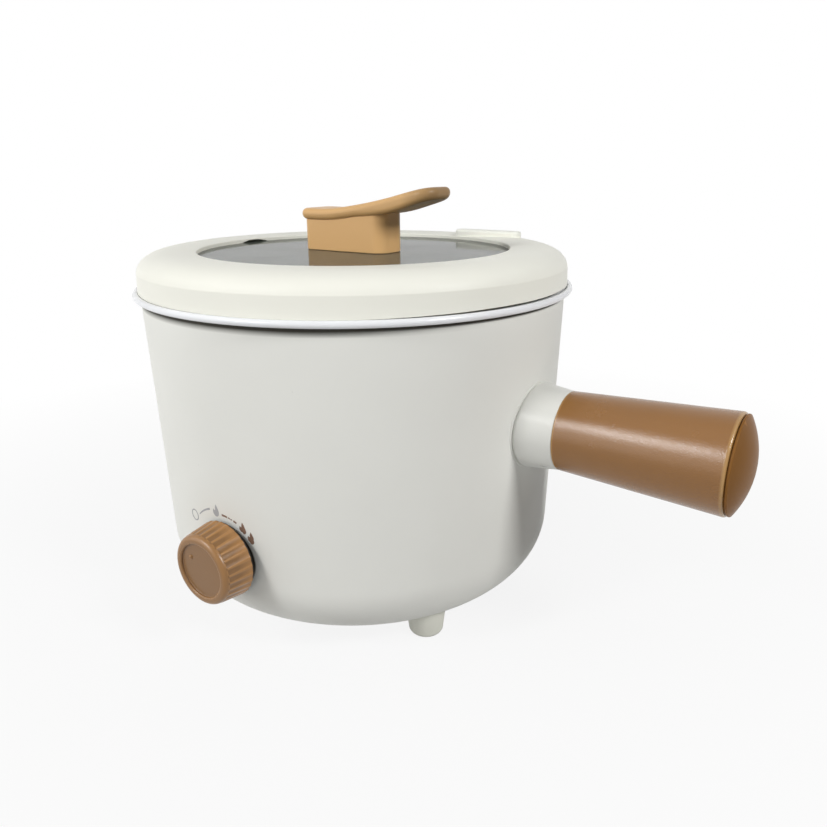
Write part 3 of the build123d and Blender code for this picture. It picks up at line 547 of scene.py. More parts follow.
def knob_shade(material, knob, tones, colour):
    """Blend painted shadow in on the front wall behind the knob, seen as a dark crescent past its edge."""
    tree = material.node_tree
    place = add(tree, "TexCoord").outputs["Object"]
    middle = (knob.aside, 0, knob.height)
    from_axis = add(tree, "VectorMath", {0: place, 1: middle}, operation="SUBTRACT")
    flat = add(tree, "VectorMath", {0: from_axis.outputs[0], 1: (1, 0, 1)}, operation="MULTIPLY")
    distance = add(tree, "VectorMath", {0: flat.outputs[0]}, operation="LENGTH").outputs["Value"]
    full, end = knob.base_radius - tones.knob_full, knob.base_radius - tones.knob_end
    near = spread(tree, distance, 1, 0, full, end)
    front = spread(tree, add(tree, "SeparateXYZ", {0: place}).outputs["Y"], 0, 1, 0, -tones.knob_front)
    return blend_over(material, product(tree, near, front), colour)


def shell_plastic(name, colours):
    """Satin white plastic with a very slight ripple, with painted shadow below the pot's rim and behind the
    knob.
    """
    material = moulded(
        name, colours.shell_white, 0.5, 260, FINE_GRAIN, cloud=0.012, speck_share=0.012, gloss=0.08
    )
    top = bpy.context.scene.pan_shell.top_height
    tones = bpy.context.scene.pan_tones
    shade = colours.painted_shadow
    # Painted shadow below the pot's rim
    front = ("Y", -tones.rim_shadow_side, -tones.rim_shadow_front)
    banded(material, "Z", top - tones.rim_shadow_soft, top - tones.rim_shadow_deep, shade, across=front)
    banded(material, "Z", top - tones.shadow_line_start, top - tones.shadow_line_full, shade)
    # Painted shadow on the wall behind the knob
    return knob_shade(material, bpy.context.scene.pan_knob, tones, shade)


def lid_plastic(name, colours):
    """Satin cream plastic with a few specks, its skirt a little darker as painted shade."""
    cream = colours.lid_cream
    material = moulded(name, cream, 0.42, 300, FINE_GRAIN, cloud=0.02, speck_share=0.012, gloss=0.15)
    crease = bpy.context.scene.pan_lid.crease_height
    tones = bpy.context.scene.pan_tones
    skirt = toned(cream, tones.skirt_painted_shade)
    return banded(material, "Z", crease + tones.skirt_shade_start, crease - tones.skirt_shade_full, skirt)


def collar_plastic(name, colours):
    """Glossier white plastic of the handle's collar."""
    white = toned(colours.shell_white, bpy.context.scene.pan_tones.collar_tone)
    return moulded(name, white, 0.3, 260, FINE_GRAIN, cloud=0.012, speck_share=0.012, gloss=0.3)


def foot_plastic(name, colours):
    """Duller white plastic of the feet, made darker as painted shade."""
    return moulded(name, colours.foot_white, 0.55, 260, FINE_GRAIN, cloud=0.03, gloss=0.1)


def tab_plastic(name, colours):
    """Whiter plastic of the low tab on the lid."""
    return moulded(name, colours.tab_white, 0.4, 300, FINE_GRAIN, cloud=0.01, gloss=0.3)


def tan_plastic(name, colours):
    """Smooth satin tan plastic of the knob, with painted shade at its undercut."""
    material = moulded(name, colours.knob_tan, 0.32, 900, FINE_GRAIN, cloud=0.05, gloss=0.5, edge_highlight=0.7)
    knob = bpy.context.scene.pan_knob
    tones = bpy.context.scene.pan_tones
    low = -knob.base - knob.undercut
    shade = toned(colours.knob_tan, tones.undercut_painted_shade)
    return banded(material, "Y", low - tones.undercut_start, low - tones.undercut_full, shade)


def cap_plastic(name, colours):
    """Tan plastic of the handle's end cap, made deeper as painted shade."""
    return moulded(name, colours.cap_tan, 0.4, 900, FINE_GRAIN, cloud=0.05, gloss=0.08, edge_highlight=0.5)


def light_tan_plastic(name, colours):
    """Paler satin tan plastic of the lid's grip, with painted shade at its nose."""
    tan = colours.light_tan
    material = moulded(name, tan, 0.38, 900, FINE_GRAIN, cloud=0.03, gloss=0.25, edge_highlight=0.25)
    tones = bpy.context.scene.pan_tones
    nose = PLATE_HIGH.x
    shade = toned(tan, tones.nose_painted_shade)
    return banded(material, "X", nose - tones.nose_shade_start, nose - tones.nose_shade_full, shade)


def pebbled_tan_plastic(name, colours):
    """Tan plastic with the fine pebble of a spark-textured mould and painted highlights at its rounded
    ends.
    """
    material = moulded(name, colours.tan, 0.25, 2400, 0.00007, cloud=0.02, gloss=0.62)
    handle = bpy.context.scene.pan_handle
    tones = bpy.context.scene.pan_tones
    near, far = handle.grip_start, handle.grip_end
    # Painted highlights at both rounded ends of the grip
    banded(material, "X", near + tones.near_highlight_start, near + tones.near_highlight_full, colours.edge_highlight_tan)
    return banded(material, "X", far - tones.far_highlight_start, far - tones.far_highlight_full, colours.edge_highlight_tan)


def base_plastic(name, colours):
    """Matt white plastic of the plate under the shell."""
    return moulded(name, colours.base_white, 0.55, 1800, 0.00005)


def soft_silicone(name, colours):
    """Dull silicone rubber."""
    return moulded(name, colours.silicone, 0.62, 900, 0.00003)


def control_case(name, colours):
    """Black moulded case of the rotary control."""
    return moulded(name, colours.control, 0.48, 1500, 0.00005, cloud=0.12)


def glazed_porcelain(name, colours):
    """Glazed porcelain of the terminal block."""
    return moulded(name, colours.porcelain, 0.22, 400, 0.00003, speck_share=0.02)


def wire_sleeve(name, colours):
    """Braided sleeve of the heat-proof wires."""
    return moulded(name, colours.wire, 0.7, 2200, 0.00025, cloud=0.08)


def grey_ink(name, colours):
    """Grey screen print."""
    return moulded(name, colours.ink_grey, 0.5, 3000, 0.00001, cloud=0.15)


def brown_ink(name, colours):
    """Brown screen print."""
    return moulded(name, colours.ink_brown, 0.5, 3000, 0.00001, cloud=0.15)


def pot_ceramic(name, colours):
    """White coated pot with small pits along its rolled rim."""
    return moulded(name, colours.pot_coat, 0.24, 500, 0.00004, cloud=0.02, speck_share=0.03)


def metal(name, colour, roughness, scratch_scale, scratch_depth):
    """Metal with an uneven sheen and fine scratches stretched one way."""
    material, tree, shader, place = blank_finish(name)
    stretched = add(tree, "Mapping", {"Vector": place, "Scale": SCRATCH_STRETCH}).outputs["Vector"]
    scratches = noise(tree, stretched, scratch_scale, detail=3)
    clouds = noise(tree, place, METAL_CLOUD_SCALE, detail=4)
    fill(tree, shader.inputs["Base Color"], cloudy(tree, clouds, colour, 0.86, 1.08))
    smooth, rough = roughness * (1 - SCRATCH_SHARE), roughness * (1 + SCRATCH_SHARE)
    fill(tree, shader.inputs["Roughness"], spread(tree, scratches, smooth, rough))
    shader.inputs["Metallic"].default_value = 1.0
    bumped(tree, shader, scratches, scratch_depth)
    return material


def plated_steel(name, colours):
    """Zinc-plated steel."""
    return metal(name, colours.steel, 0.32, 500, 0.00002)


def cast_alloy(name, colours):
    """Cast aluminium of the heater plate."""
    return metal(name, colours.alloy, 0.5, 900, 0.00008)


def element_steel(name, colours):
    """Heat-dulled sheath of the tubular element."""
    return metal(name, colours.sheath, 0.55, 700, 0.00004)


def cutout_metal(name, colours):
    """Pressed case of the heat cut-offs."""
    return metal(name, colours.cutout, 0.42, 600, 0.00002)


def window_glass(name, colours):
    """Flat glass with a soft wave, mixed in patches with a dark diffuse sheet as painted shade that dims
    it.
    """
    material, tree, shader, place = blank_finish(name)
    output = next(node for node in tree.nodes if node.bl_idname == "ShaderNodeOutputMaterial")
    film = noise(tree, place, FILM_SCALE, detail=4)
    fill(tree, shader.inputs["Roughness"], spread(tree, film, 0.03, 0.09))
    fill(tree, shader.inputs["Base Color"], cloudy(tree, film, colours.window, 0.95, 1.05))
    shader.inputs["Transmission Weight"].default_value = 1.0
    shader.inputs["IOR"].default_value = 1.5
    bumped(tree, shader, noise(tree, place, WAVE_SCALE, detail=1), WAVE_DEPTH)
    # Painted shade: a dark diffuse sheet mixed in patches over the glass
    painted_glass_shade = add(tree, "BsdfDiffuse", {"Color": opaque(colours.painted_glass_shade)})
    cover = spread(tree, film, SHADE_COVER_LOW, SHADE_COVER_HIGH)
    mix = add(tree, "MixShader", {0: cover, 1: shader.outputs[0], 2: painted_glass_shade.outputs[0]})
    fill(tree, output.inputs["Surface"], mix.outputs[0])
    return material


FINISHES = {
    "shell_white": shell_plastic,
    "base_grey": base_plastic,
    "pot_coat": pot_ceramic,
    "collar_white": collar_plastic,
    "foot_white": foot_plastic,
    "tab_white": tab_plastic,
    "tan_plastic": tan_plastic,
    "cap_tan": cap_plastic,
    "light_tan": light_tan_plastic,
    "pebbled_tan": pebbled_tan_plastic,
    "lid_cream": lid_plastic,
    "lid_window": window_glass,
    "silicone": soft_silicone,
    "heater_alloy": cast_alloy,
    "zinc_steel": plated_steel,
    "element_sheath": element_steel,
    "cutout_case": cutout_metal,
    "control_black": control_case,
    "porcelain": glazed_porcelain,
    "wire_cover": wire_sleeve,
    "ink_grey": grey_ink,
    "ink_brown": brown_ink,
}


def finish_of(kind):
    """The finish of a kind, made the first time it is asked for."""
    name = kind + "_finish"
    made = bpy.data.materials.get(name)
    return made or FINISHES[kind](name, bpy.context.scene.pan_colours)


def bevel(bm, geom, offset, affect, segments):
    """Round edges or corners with a circular section."""
    bmesh.ops.bevel(
        bm, geom=geom, offset=offset, offset_type="OFFSET", affect=affect, segments=segments, profile=0.5,
        material=-1,
    )


def cut_across(bm, place, normal):
    """Cut every face along a plane."""
    everything = bm.verts[:] + bm.edges[:] + bm.faces[:]
    bmesh.ops.bisect_plane(bm, geom=everything, dist=MERGE_GAP, plane_co=place, plane_no=normal)


def round_corner(bm, corner, radius):
    """Round one corner of a chain of edges, or of a flat face, to a radius."""
    ahead, behind = [edge.other_vert(corner).co - corner.co for edge in corner.link_edges]
    slide = radius / math.tan(ahead.angle(behind) / 2)
    steps = LARGE_ROUND_STEPS if radius > LARGE_ROUND else ROUND_STEPS
    bevel(bm, [corner], slide, "VERTICES", steps)


def turned(section, closed=False, steps=TURN_STEPS):
    """Turn a section of (radius, height, corner round) points about Z into a skin."""
    bm = bmesh.new()
    corners = [bm.verts.new((radius, 0, height)) for radius, height, _ in section]
    chain = corners + corners[:1] if closed else corners
    for start, end in zip(chain, chain[1:]):
        bm.edges.new((start, end))
    for corner, (_, _, radius) in zip(corners, section):
        if radius:
            round_corner(bm, corner, radius)
    bmesh.ops.spin(
        bm, geom=bm.verts[:] + bm.edges[:], axis=(0, 0, 1), cent=(0, 0, 0), angle=FULL_TURN, steps=steps,
        use_merge=True,
    )
    close_skin(bm)
    return bm


def close_skin(bm):
    """Merge doubled points and turn all faces outwards."""
    bmesh.ops.remove_doubles(bm, verts=bm.verts, dist=MERGE_GAP)
    bmesh.ops.recalc_face_normals(bm, faces=bm.faces)


def join(bm, other):
    """Add another bmesh to the first one."""
    carrier = bpy.data.meshes.new("carrier")
    other.to_mesh(carrier)
    other.free()
    bm.from_mesh(carrier)
    bpy.data.meshes.remove(carrier)


def rounded_prism(low, high, corner_radii, rise):
    """Stand a rectangle with rounded corners up by a rise, between two corners of a box."""
    bm = bmesh.new()
    places = ((low.x, low.y), (high.x, low.y), (high.x, high.y), (low.x, high.y))
    corners = [bm.verts.new((x, y, low.z)) for x, y in places]
    bm.faces.new(corners)
    for corner, radius in zip(corners, corner_radii):
        round_corner(bm, corner, radius)
    lifted = bmesh.ops.extrude_face_region(bm, geom=bm.faces[:])["geom"]
    upper = [item for item in lifted if isinstance(item, bmesh.types.BMVert)]
    bmesh.ops.translate(bm, vec=(0, 0, rise), verts=upper)
    bmesh.ops.recalc_face_normals(bm, faces=bm.faces)
    return bm


def rim_edges(bm, height):
    """The edges that lie flat at a height."""
    level = [vert for vert in bm.verts if abs(vert.co.z - height) < MERGE_GAP]
    return [edge for edge in bm.edges if all(vert in level for vert in edge.verts)]


def finish_piece(bm, name, kind, body, slot, *replaced, sharp=SHARP_ANGLE):
    """Make a bmesh a finished piece that rides on a body and stands for CAD nodes."""
    mesh = bpy.data.meshes.new(name)
    bm.to_mesh(mesh)
    bm.free()
    mesh.shade_smooth()
    mesh.set_sharp_from_angle(angle=sharp)
    mesh.materials.append(finish_of(kind))
    piece = bpy.data.objects.new(name, mesh)
    bpy.context.scene.collection.objects.link(piece)
    weighted = piece.modifiers.new("Even shading", "WEIGHTED_NORMAL")
    weighted.keep_sharp = True
    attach(piece, body)
    if replaced:
        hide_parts(*replaced)
    return piece


def wall_radius(shell, height):
    """Outside radius of the shell's wall at a height."""
    return shell.top_radius - shell.draft_share * (shell.top_height - height)


def wall_reach(shell, across, height):
    """How far the wall stands from the pan's axis at a sideways place and a height."""
    return math.sqrt(wall_radius(shell, height) ** 2 - across**2)


def bottom_height(shell, radius):
    """Height of the shell's underside at a radius, along its rounded edge."""
    centre = wall_radius(shell, shell.floor_gap) - shell.corner_radius
    beyond = max(radius - centre, 0)
    return shell.floor_gap + shell.corner_radius - math.sqrt(shell.corner_radius**2 - beyond**2)


def along_handle(handle):
    """Turns a piece made about Z to lie along the handle."""
    return Matrix.Translation((0, 0, handle.height)) @ Matrix.Rotation(RIGHT_ANGLE, 4, "Y")


def out_of_front(knob):
    """Turns a piece made about Z to point out of the front wall along the knob's axis."""
    return Matrix.Translation((knob.aside, 0, knob.height)) @ Matrix.Rotation(RIGHT_ANGLE, 4, "X")


def out_of_back(height):
    """Turns a piece made about Z to point out of the back wall."""
    return Matrix.Translation((0, 0, height)) @ Matrix.Rotation(-RIGHT_ANGLE, 4, "X")


def handle_seat(shell, handle):
    """Raised ring on the wall that the collar stands on."""
    hidden = handle.collar_root - handle.seat_radius / 8
    sunk = -shell.wall / 4
    rise = handle.seat_rise
    ring = turned(
        [
            (hidden, sunk, 0),
            (handle.seat_radius, sunk, 0),
            (handle.seat_radius, rise, rise * SEAT_ROUND_SHARE),
            (hidden, rise, 0),
        ],
        closed=True,
    )
    ring.transform(along_handle(handle))
    for vert in ring.verts:
        vert.co.x += wall_reach(shell, vert.co.y, vert.co.z)
    return ring


class PAN_OT_shell(bpy.types.Operator):
    """Build the drafted outer shell with the raised seat of its handle"""

    bl_idname = "pan.shell"
    bl_label = "Outer shell"

    def execute(self, context):
        shell = context.scene.pan_shell
        inside = shell.floor_gap + shell.wall
        bm = turned(
            [
                (shell.base_opening, shell.floor_gap, shell.edge_round),
                (wall_radius(shell, shell.floor_gap), shell.floor_gap, shell.corner_radius),
                (shell.top_radius, shell.top_height, shell.edge_round),
                (shell.top_radius - shell.wall, shell.top_height, shell.edge_round),
                (wall_radius(shell, inside) - shell.wall, inside, shell.corner_radius - shell.wall),
                (shell.base_opening, inside, shell.edge_round),
            ],
            closed=True,
        )
        join(bm, handle_seat(shell, context.scene.pan_handle))
        finish_piece(bm, "shell_tub", "shell_white", "base", "shell_white", "outer_shell")
        return {"FINISHED"}


class PAN_OT_pot(bpy.types.Operator):
    """Build the inner pot with its rolled rim"""

    bl_idname = "pan.pot"
    bl_label = "Inner pot"

    def execute(self, context):
        pot = context.scene.pan_pot
        top = context.scene.pan_shell.top_height
        floor = pot.underside + pot.wall
        floor_radius = pot.mouth_radius - pot.draft_share * (top + pot.wall - floor)
        bead_place = pot.rim_radius - pot.bead_radius
        bead_height = top + pot.wall / 2
        half_sheet = math.asin(pot.wall / 2 / pot.bead_radius)
        bead_turn = FULL_TURN - 2 * half_sheet
        bead = []
        for step in range(CURVE_STEPS + 1):
            angle = half_sheet - math.pi + bead_turn * step / CURVE_STEPS
            out, up = pot.bead_radius * math.cos(angle), pot.bead_radius * math.sin(angle)
            bead.append((bead_place + out, bead_height + up, 0))
        bm = turned(
            [
                (0, pot.underside, 0),
                (floor_radius + pot.wall, pot.underside, pot.corner_radius + pot.wall),
                (pot.mouth_radius + pot.wall, top, pot.lip_round - pot.wall),
                *bead,
                (pot.mouth_radius, top + pot.wall, pot.lip_round),
                (floor_radius, floor, pot.corner_radius),
                (0, floor, 0),
            ]
        )
        finish_piece(bm, "coated_pot", "pot_coat", "base", "pot_coat", "inner_pot")
        return {"FINISHED"}


class PAN_OT_feet(bpy.types.Operator):
    """Build the round feet, their tops cut to the shell's rounded edge"""

    bl_idname = "pan.feet"
    bl_label = "Feet"

    def execute(self, context):
        shell = context.scene.pan_shell
        feet = context.scene.pan_feet
        bm = bmesh.new()
        for number in range(feet.repeats):
            angle = feet.first_angle + number * FULL_TURN / feet.repeats
            middle = Vector((feet.place * math.cos(angle), feet.place * math.sin(angle), 0))
            foot = turned(
                [
                    (0, feet.recess_height, 0),
                    (feet.recess_radius, feet.recess_height, 0),
                    (feet.recess_radius, 0, feet.edge_round / 4),
                    (feet.tip_radius, 0, feet.edge_round),
                    (feet.radius, shell.floor_gap, 0),
                    (0, shell.floor_gap, 0),
                ],
                steps=TURN_STEPS // 3,
            )
            bmesh.ops.translate(foot, vec=middle, verts=foot.verts)
            for vert in foot.verts:
                if vert.co.z > shell.floor_gap - MERGE_GAP:
                    vert.co.z = bottom_height(shell, vert.co.xy.length) + feet.sink
            join(bm, foot)
        finish_piece(bm, "foot_set", "foot_white", "base", "shell_white", "feet")
        return {"FINISHED"}


class PAN_OT_handle(bpy.types.Operator):
    """Build the collar, the flaring grip and the domed end cap"""

    bl_idname = "pan.handle"
    bl_label = "Handle"

    def execute(self, context):
        shell = context.scene.pan_shell
        handle = context.scene.pan_handle
        place = along_handle(handle)
        collar = self.collar(shell, handle, place)
        finish_piece(collar, "collar_sleeve", "collar_white", "base", "shell_white", "handle_collar")
        grip = self.grip(handle, place)
        finish_piece(grip, "flared_grip", "pebbled_tan", "base", "tan_plastic", "handle_grip")
        cap = self.cap(handle, place)
        finish_piece(cap, "domed_cap", "cap_tan", "base", "tan_plastic", "handle_end_cap")
        return {"FINISHED"}

    def collar(self, shell, handle, place):
        """Tapered sleeve whose root follows the wall."""
        wall = wall_radius(shell, handle.height)
        reach = handle.grip_start - wall
        bm = turned(
            [
                (0, wall, 0),
                (handle.collar_root - handle.root_round, wall, 0),
                (handle.collar_root, wall, handle.root_round),
                (handle.collar_end, handle.grip_start, handle.edge_round / 2),
                (0, handle.grip_start, 0),
            ]
        )
        bm.transform(place)
        for vert in bm.verts:
            follow = (handle.grip_start - vert.co.x) / reach
            vert.co.x += follow * (wall_reach(shell, vert.co.y, vert.co.z) - wall)
        return bm

    def grip(self, handle, place):
        """Flaring grip with a softly rounded far edge."""
        bm = turned(
            [
                (0, handle.grip_start, 0),
                (handle.collar_end, handle.grip_start, handle.edge_round / 2),
                (handle.end_radius, handle.grip_end, handle.end_round),
                (0, handle.grip_end, 0),
            ]
        )
        bm.transform(place)
        return bm

    def cap(self, handle, place):
        """Domed cap with a groove behind its edge."""
        disc = handle.grip_end + handle.groove_width
        edge = disc + handle.cap_edge
        radius = handle.end_radius - handle.cap_inset
        groove = radius - handle.groove_depth
        ball = (radius**2 + handle.dome_rise**2) / (2 * handle.dome_rise)
        spread_angle = math.asin(radius / ball)
        crown = edge + handle.dome_rise
        angles = [spread_angle * (1 - step / CURVE_STEPS) for step in range(1, CURVE_STEPS + 1)]
        dome = [(ball * math.sin(angle), crown - ball * (1 - math.cos(angle)), 0) for angle in angles]
        bm = turned(
            [
                (0, handle.grip_end, 0),
                (groove, handle.grip_end, 0),
                (groove, disc, 0),
                (radius, disc, handle.edge_round / 3),
                (radius, edge, handle.edge_round / 3),
                *dome,
            ]
        )
        bm.transform(place)
        return bm


class PAN_OT_knob(bpy.types.Operator):
    """Build the fluted control knob with its dished face and pointer dot"""

    bl_idname = "pan.knob"
    bl_label = "Control knob"

    def execute(self, context):
        knob = context.scene.pan_knob
        edge_radius = knob.base_radius - knob.taper_share * knob.side_depth
        rim_radius = edge_radius - knob.rim_step
        dish = knob.depth - knob.dish_depth
        bm = turned(
            [
                (0, knob.cavity, 0),
                (knob.base_radius - knob.taper_share * knob.cavity - knob.wall, knob.cavity, 0),
                (knob.base_radius - knob.wall, 0, 0),
                (knob.base_radius - knob.undercut, 0, 0),
                (knob.base_radius - knob.undercut, knob.undercut, 0),
                (knob.base_radius - knob.taper_share * knob.undercut, knob.undercut, 0),
                (edge_radius, knob.side_depth, 0),
                (rim_radius, knob.side_depth + knob.rim_step, 0),
                (rim_radius - knob.rim_step, knob.depth, knob.rim_round),
                (knob.dish_radius, knob.depth, knob.dish_round),
                (knob.dish_radius, dish, knob.dish_round),
                (0, dish, 0),
            ],
            steps=TURN_STEPS * 3,
        )
        self.cut_flutes(bm, knob)
        ball = (knob.dot_radius**2 + knob.dot_rise**2) / (2 * knob.dot_rise)
        dot = Vector((math.sin(knob.dot_angle), math.cos(knob.dot_angle), 0)) * knob.dot_place
        dot.z = dish + knob.dot_rise - ball
        bmesh.ops.create_uvsphere(
            bm, u_segments=32, v_segments=20, radius=ball, matrix=Matrix.Translation(dot)
        )
        bmesh.ops.translate(bm, vec=(0, 0, knob.base), verts=bm.verts)
        bm.transform(out_of_front(knob))
        finish_piece(bm, "fluted_knob", "tan_plastic", "knob", "tan_plastic", "control_knob")
        return {"FINISHED"}

    def cut_flutes(self, bm, knob):
        """Draw the side in where the round flutes run."""
        pitch = FULL_TURN / knob.flutes
        for vert in bm.verts:
            radius = vert.co.xy.length
            axis = knob.base_radius - knob.flute_depth + knob.flute_radius - knob.taper_share * vert.co.z
            angle = math.atan2(vert.co.y, vert.co.x) % pitch
            aside = axis * math.sin(min(angle, pitch - angle))
            if vert.co.z > knob.side_depth + MERGE_GAP or aside > knob.flute_radius:
                continue
            inward = math.sqrt(axis**2 - aside**2) - math.sqrt(knob.flute_radius**2 - aside**2)
            deep = min(vert.co.z / knob.flute_fade, 1)
            if radius > inward:
                vert.co.xy *= 1 - (1 - inward / radius) * deep


class PAN_OT_gland(bpy.types.Operator):
    """Build the cord gland at the back wall"""

    bl_idname = "pan.gland"
    bl_label = "Cord gland"

    def execute(self, context):
        shell = context.scene.pan_shell
        height = (GLAND_LOW.z + GLAND_HIGH.z) / 2
        flange = (GLAND_HIGH.x - GLAND_LOW.x) / 2
        bore = flange / 2
        lip = shell.edge_round * GLAND_LIP_SHARE
        bm = turned(
            [
                (bore, GLAND_LOW.y, 0),
                (flange - shell.wall, GLAND_LOW.y, 0),
                (flange - shell.wall, wall_radius(shell, height) - shell.wall / 2, 0),
                (flange, wall_radius(shell, height) - shell.wall / 2, 0),
                (flange, GLAND_HIGH.y, lip),
                (bore, GLAND_HIGH.y, lip),
            ],
            closed=True,
            steps=TURN_STEPS // 2,
        )
        bm.transform(out_of_back(height))
        finish_piece(bm, "cord_grommet", "shell_white", "base", "shell_white", "cord_gland")
        return {"FINISHED"}


PRINT_STEPS = 10


def printed_shape(name, outlines, thickness):
    """A flat filled shape of smooth closed outlines. A point's third value marks a sharp tip."""
    curve = bpy.data.curves.new(name, "CURVE")
    curve.dimensions = "2D"
    curve.fill_mode = "BOTH"
    curve.extrude = thickness / 2
    curve.resolution_u = PRINT_STEPS
    for outline in outlines:
        spline = curve.splines.new("BEZIER")
        spline.bezier_points.add(len(outline) - 1)
        spline.use_cyclic_u = True
        for knot, (across, up, sharp) in zip(spline.bezier_points, outline):
            knot.co = (across, up, 0)
            knot.handle_left_type = knot.handle_right_type = "VECTOR" if sharp else "AUTO"
    carrier = bpy.data.objects.new(name, curve)
    bpy.context.scene.collection.objects.link(carrier)
    bpy.context.view_layer.update()
    mesh = bpy.data.meshes.new_from_object(carrier)
    bm = bmesh.new()
    bm.from_mesh(mesh)
    bpy.data.meshes.remove(mesh)
    bpy.data.objects.remove(carrier)
    bpy.data.curves.remove(curve)
    bmesh.ops.remove_doubles(bm, verts=bm.verts, dist=MERGE_GAP)
    return bm


CIRCLE_POINTS = 8
BAND_STEPS = 6
STROKE_SHARES = ((0, 0.36, 1), (0.42, 0.56, 0.6), (0.6, 0.72, 0.5), (0.8, 1, 0.9))
STROKE_END_SHARE = 0.8
FLAME_SHARES = (
    (0.06, 0.56, True), (0.24, 0.22, False), (0.33, -0.12, False), (0.20, -0.42, False),
    (0.0, -0.5, False), (-0.22, -0.40, False), (-0.33, -0.10, False), (-0.25, 0.14, True),
    (-0.12, 0.02, False), (-0.04, 0.30, False),
)
TONGUE_SHARES = (
    (0.04, 0.5, True), (0.26, 0.05, False), (0.22, -0.36, False), (0.0, -0.5, False),
    (-0.24, -0.34, False), (-0.22, 0.02, False),
)
TONGUE_SIZE_SHARE = 0.8
TONGUE_DROP_SHARE = 0.08
# Angle in degrees, distance from the dial's centre, and share of the low flame's height
HIGH_FLAMES = ((35.5, 0.0196, 0.8), (51, 0.0193, 0.84))


class PAN_OT_dial(bpy.types.Operator):
    """Print the off ring, the heat arcs and the flames on the wall round the knob"""

    bl_idname = "pan.dial"
    bl_label = "Dial marks"

    def execute(self, context):
        dial = context.scene.pan_dial
        self.put(dial, "dial_off_ring", "ink_grey", [self.ring(dial)])
        self.put(dial, "dial_low_wedge", "ink_grey", [[self.wedge(dial)]])
        flame = self.shape(FLAME_SHARES, dial.low_angle, dial.low_place, dial.flame_height)
        self.put(dial, "dial_low_flame", "ink_grey", [[flame]])
        self.put(dial, "dial_high_dashes", "ink_brown", [[stroke] for stroke in self.dashes(dial)])
        self.put(dial, "dial_high_flames", "ink_brown", [[tongue] for tongue in self.tongues(dial)])
        return {"FINISHED"}

    def at(self, angle, place):
        """Point at an angle clockwise from up and a distance from the dial's centre."""
        return Vector((place * math.sin(angle), place * math.cos(angle)))

    def circle(self, middle, radius):
        """Outline of a circle."""
        angles = [FULL_TURN * step / CIRCLE_POINTS for step in range(CIRCLE_POINTS)]
        return [(middle.x + radius * math.cos(a), middle.y + radius * math.sin(a), False) for a in angles]

    def ring(self, dial):
        """The off ring's two outlines."""
        middle = self.at(dial.ring_angle, dial.ring_place)
        radius = dial.ring_size / 2
        return [self.circle(middle, radius), self.circle(middle, radius - dial.ring_line)]

    def band(self, start, end, place, start_width, end_width):
        """Outline of an arc round the dial's centre that goes from one width to another."""
        outer, inner = [], []
        for step in range(BAND_STEPS + 1):
            along = step / BAND_STEPS
            half = (start_width + (end_width - start_width) * along) / 2
            angle = start + (end - start) * along
            sharp = step in (0, BAND_STEPS)
            outer.append((*self.at(angle, place + half), sharp))
            inner.append((*self.at(angle, place - half), sharp))
        return outer + inner[::-1]

    def wedge(self, dial):
        """Arc that thickens towards the low heat."""
        width = dial.wedge_width
        return self.band(dial.wedge_start, dial.wedge_end, dial.wedge_place, width / 2, width)

    def dashes(self, dial):
        """Short strokes along an arc towards the high heat."""
        span = dial.dashes_end - dial.dashes_start
        width = dial.dashes_width
        strokes = []
        for start, end, heavy in STROKE_SHARES:
            first, last = dial.dashes_start + span * start, dial.dashes_start + span * end
            thick = width * heavy
            strokes.append(self.band(first, last, dial.dashes_place, thick, thick * STROKE_END_SHARE))
        return strokes

    def tongues(self, dial):
        """Two tongues for each of the high heat's flames."""
        tall = dial.flame_height
        outlines = []
        for degrees, place, size in HIGH_FLAMES:
            angle = math.radians(degrees)
            before, after = angle - dial.tongue_turn, angle + dial.tongue_turn
            outlines.append(self.shape(FLAME_SHARES, before, place, tall * size))
            low = place - tall * TONGUE_DROP_SHARE
            outlines.append(self.shape(TONGUE_SHARES, after, low, tall * size * TONGUE_SIZE_SHARE))
        return outlines

    def shape(self, shares, angle, place, size):
        """Outline given as shares of a size, standing at an angle round the dial's centre."""
        middle = self.at(angle, place)
        return [(middle.x + across * size, middle.y + up * size, sharp) for across, up, sharp in shares]

    def put(self, dial, name, kind, shapes):
        """Lay printed shapes, each a list of outlines, on the front wall."""
        shell = bpy.context.scene.pan_shell
        bm = bmesh.new()
        for outlines in shapes:
            join(bm, printed_shape(name, outlines, dial.thickness))
        for vert in bm.verts:
            across, up, rise = vert.co
            across += dial.aside
            height = dial.height + up
            reach = wall_reach(shell, across, height) + dial.lift + rise
            vert.co = (across, -reach, height)
        bmesh.ops.recalc_face_normals(bm, faces=bm.faces)
        finish_piece(bm, name, kind, "base", "shell_white")


def dome_section(lid):
    """Points of the dome from the crease to the crest, on a superellipse, then down to the lip."""
    wide = lid.crease_radius - lid.crest_radius
    tall = lid.crest_height - lid.crease_height
    power = 2 / lid.dome_power
    first_out, first_up = math.cos(lid.crease_turn) ** power, math.sin(lid.crease_turn) ** power
    points = []
    for step in range(CURVE_STEPS + 1):
        angle = lid.crease_turn + (RIGHT_ANGLE - lid.crease_turn) * step / CURVE_STEPS
        out = math.cos(angle) ** power / first_out if step < CURVE_STEPS else 0
        up = (math.sin(angle) ** power - first_up) / (1 - first_up)
        points.append((lid.crest_radius + wide * out, lid.crease_height + tall * up, 0))
    inward = lid.crest_radius - lid.window_radius
    drop = lid.crest_height - lid.lip_height
    steps = CURVE_STEPS // 2
    for step in range(1, steps):
        along = step / steps
        points.append((lid.crest_radius - inward * along, lid.crest_height - drop * along**2, 0))
    return points


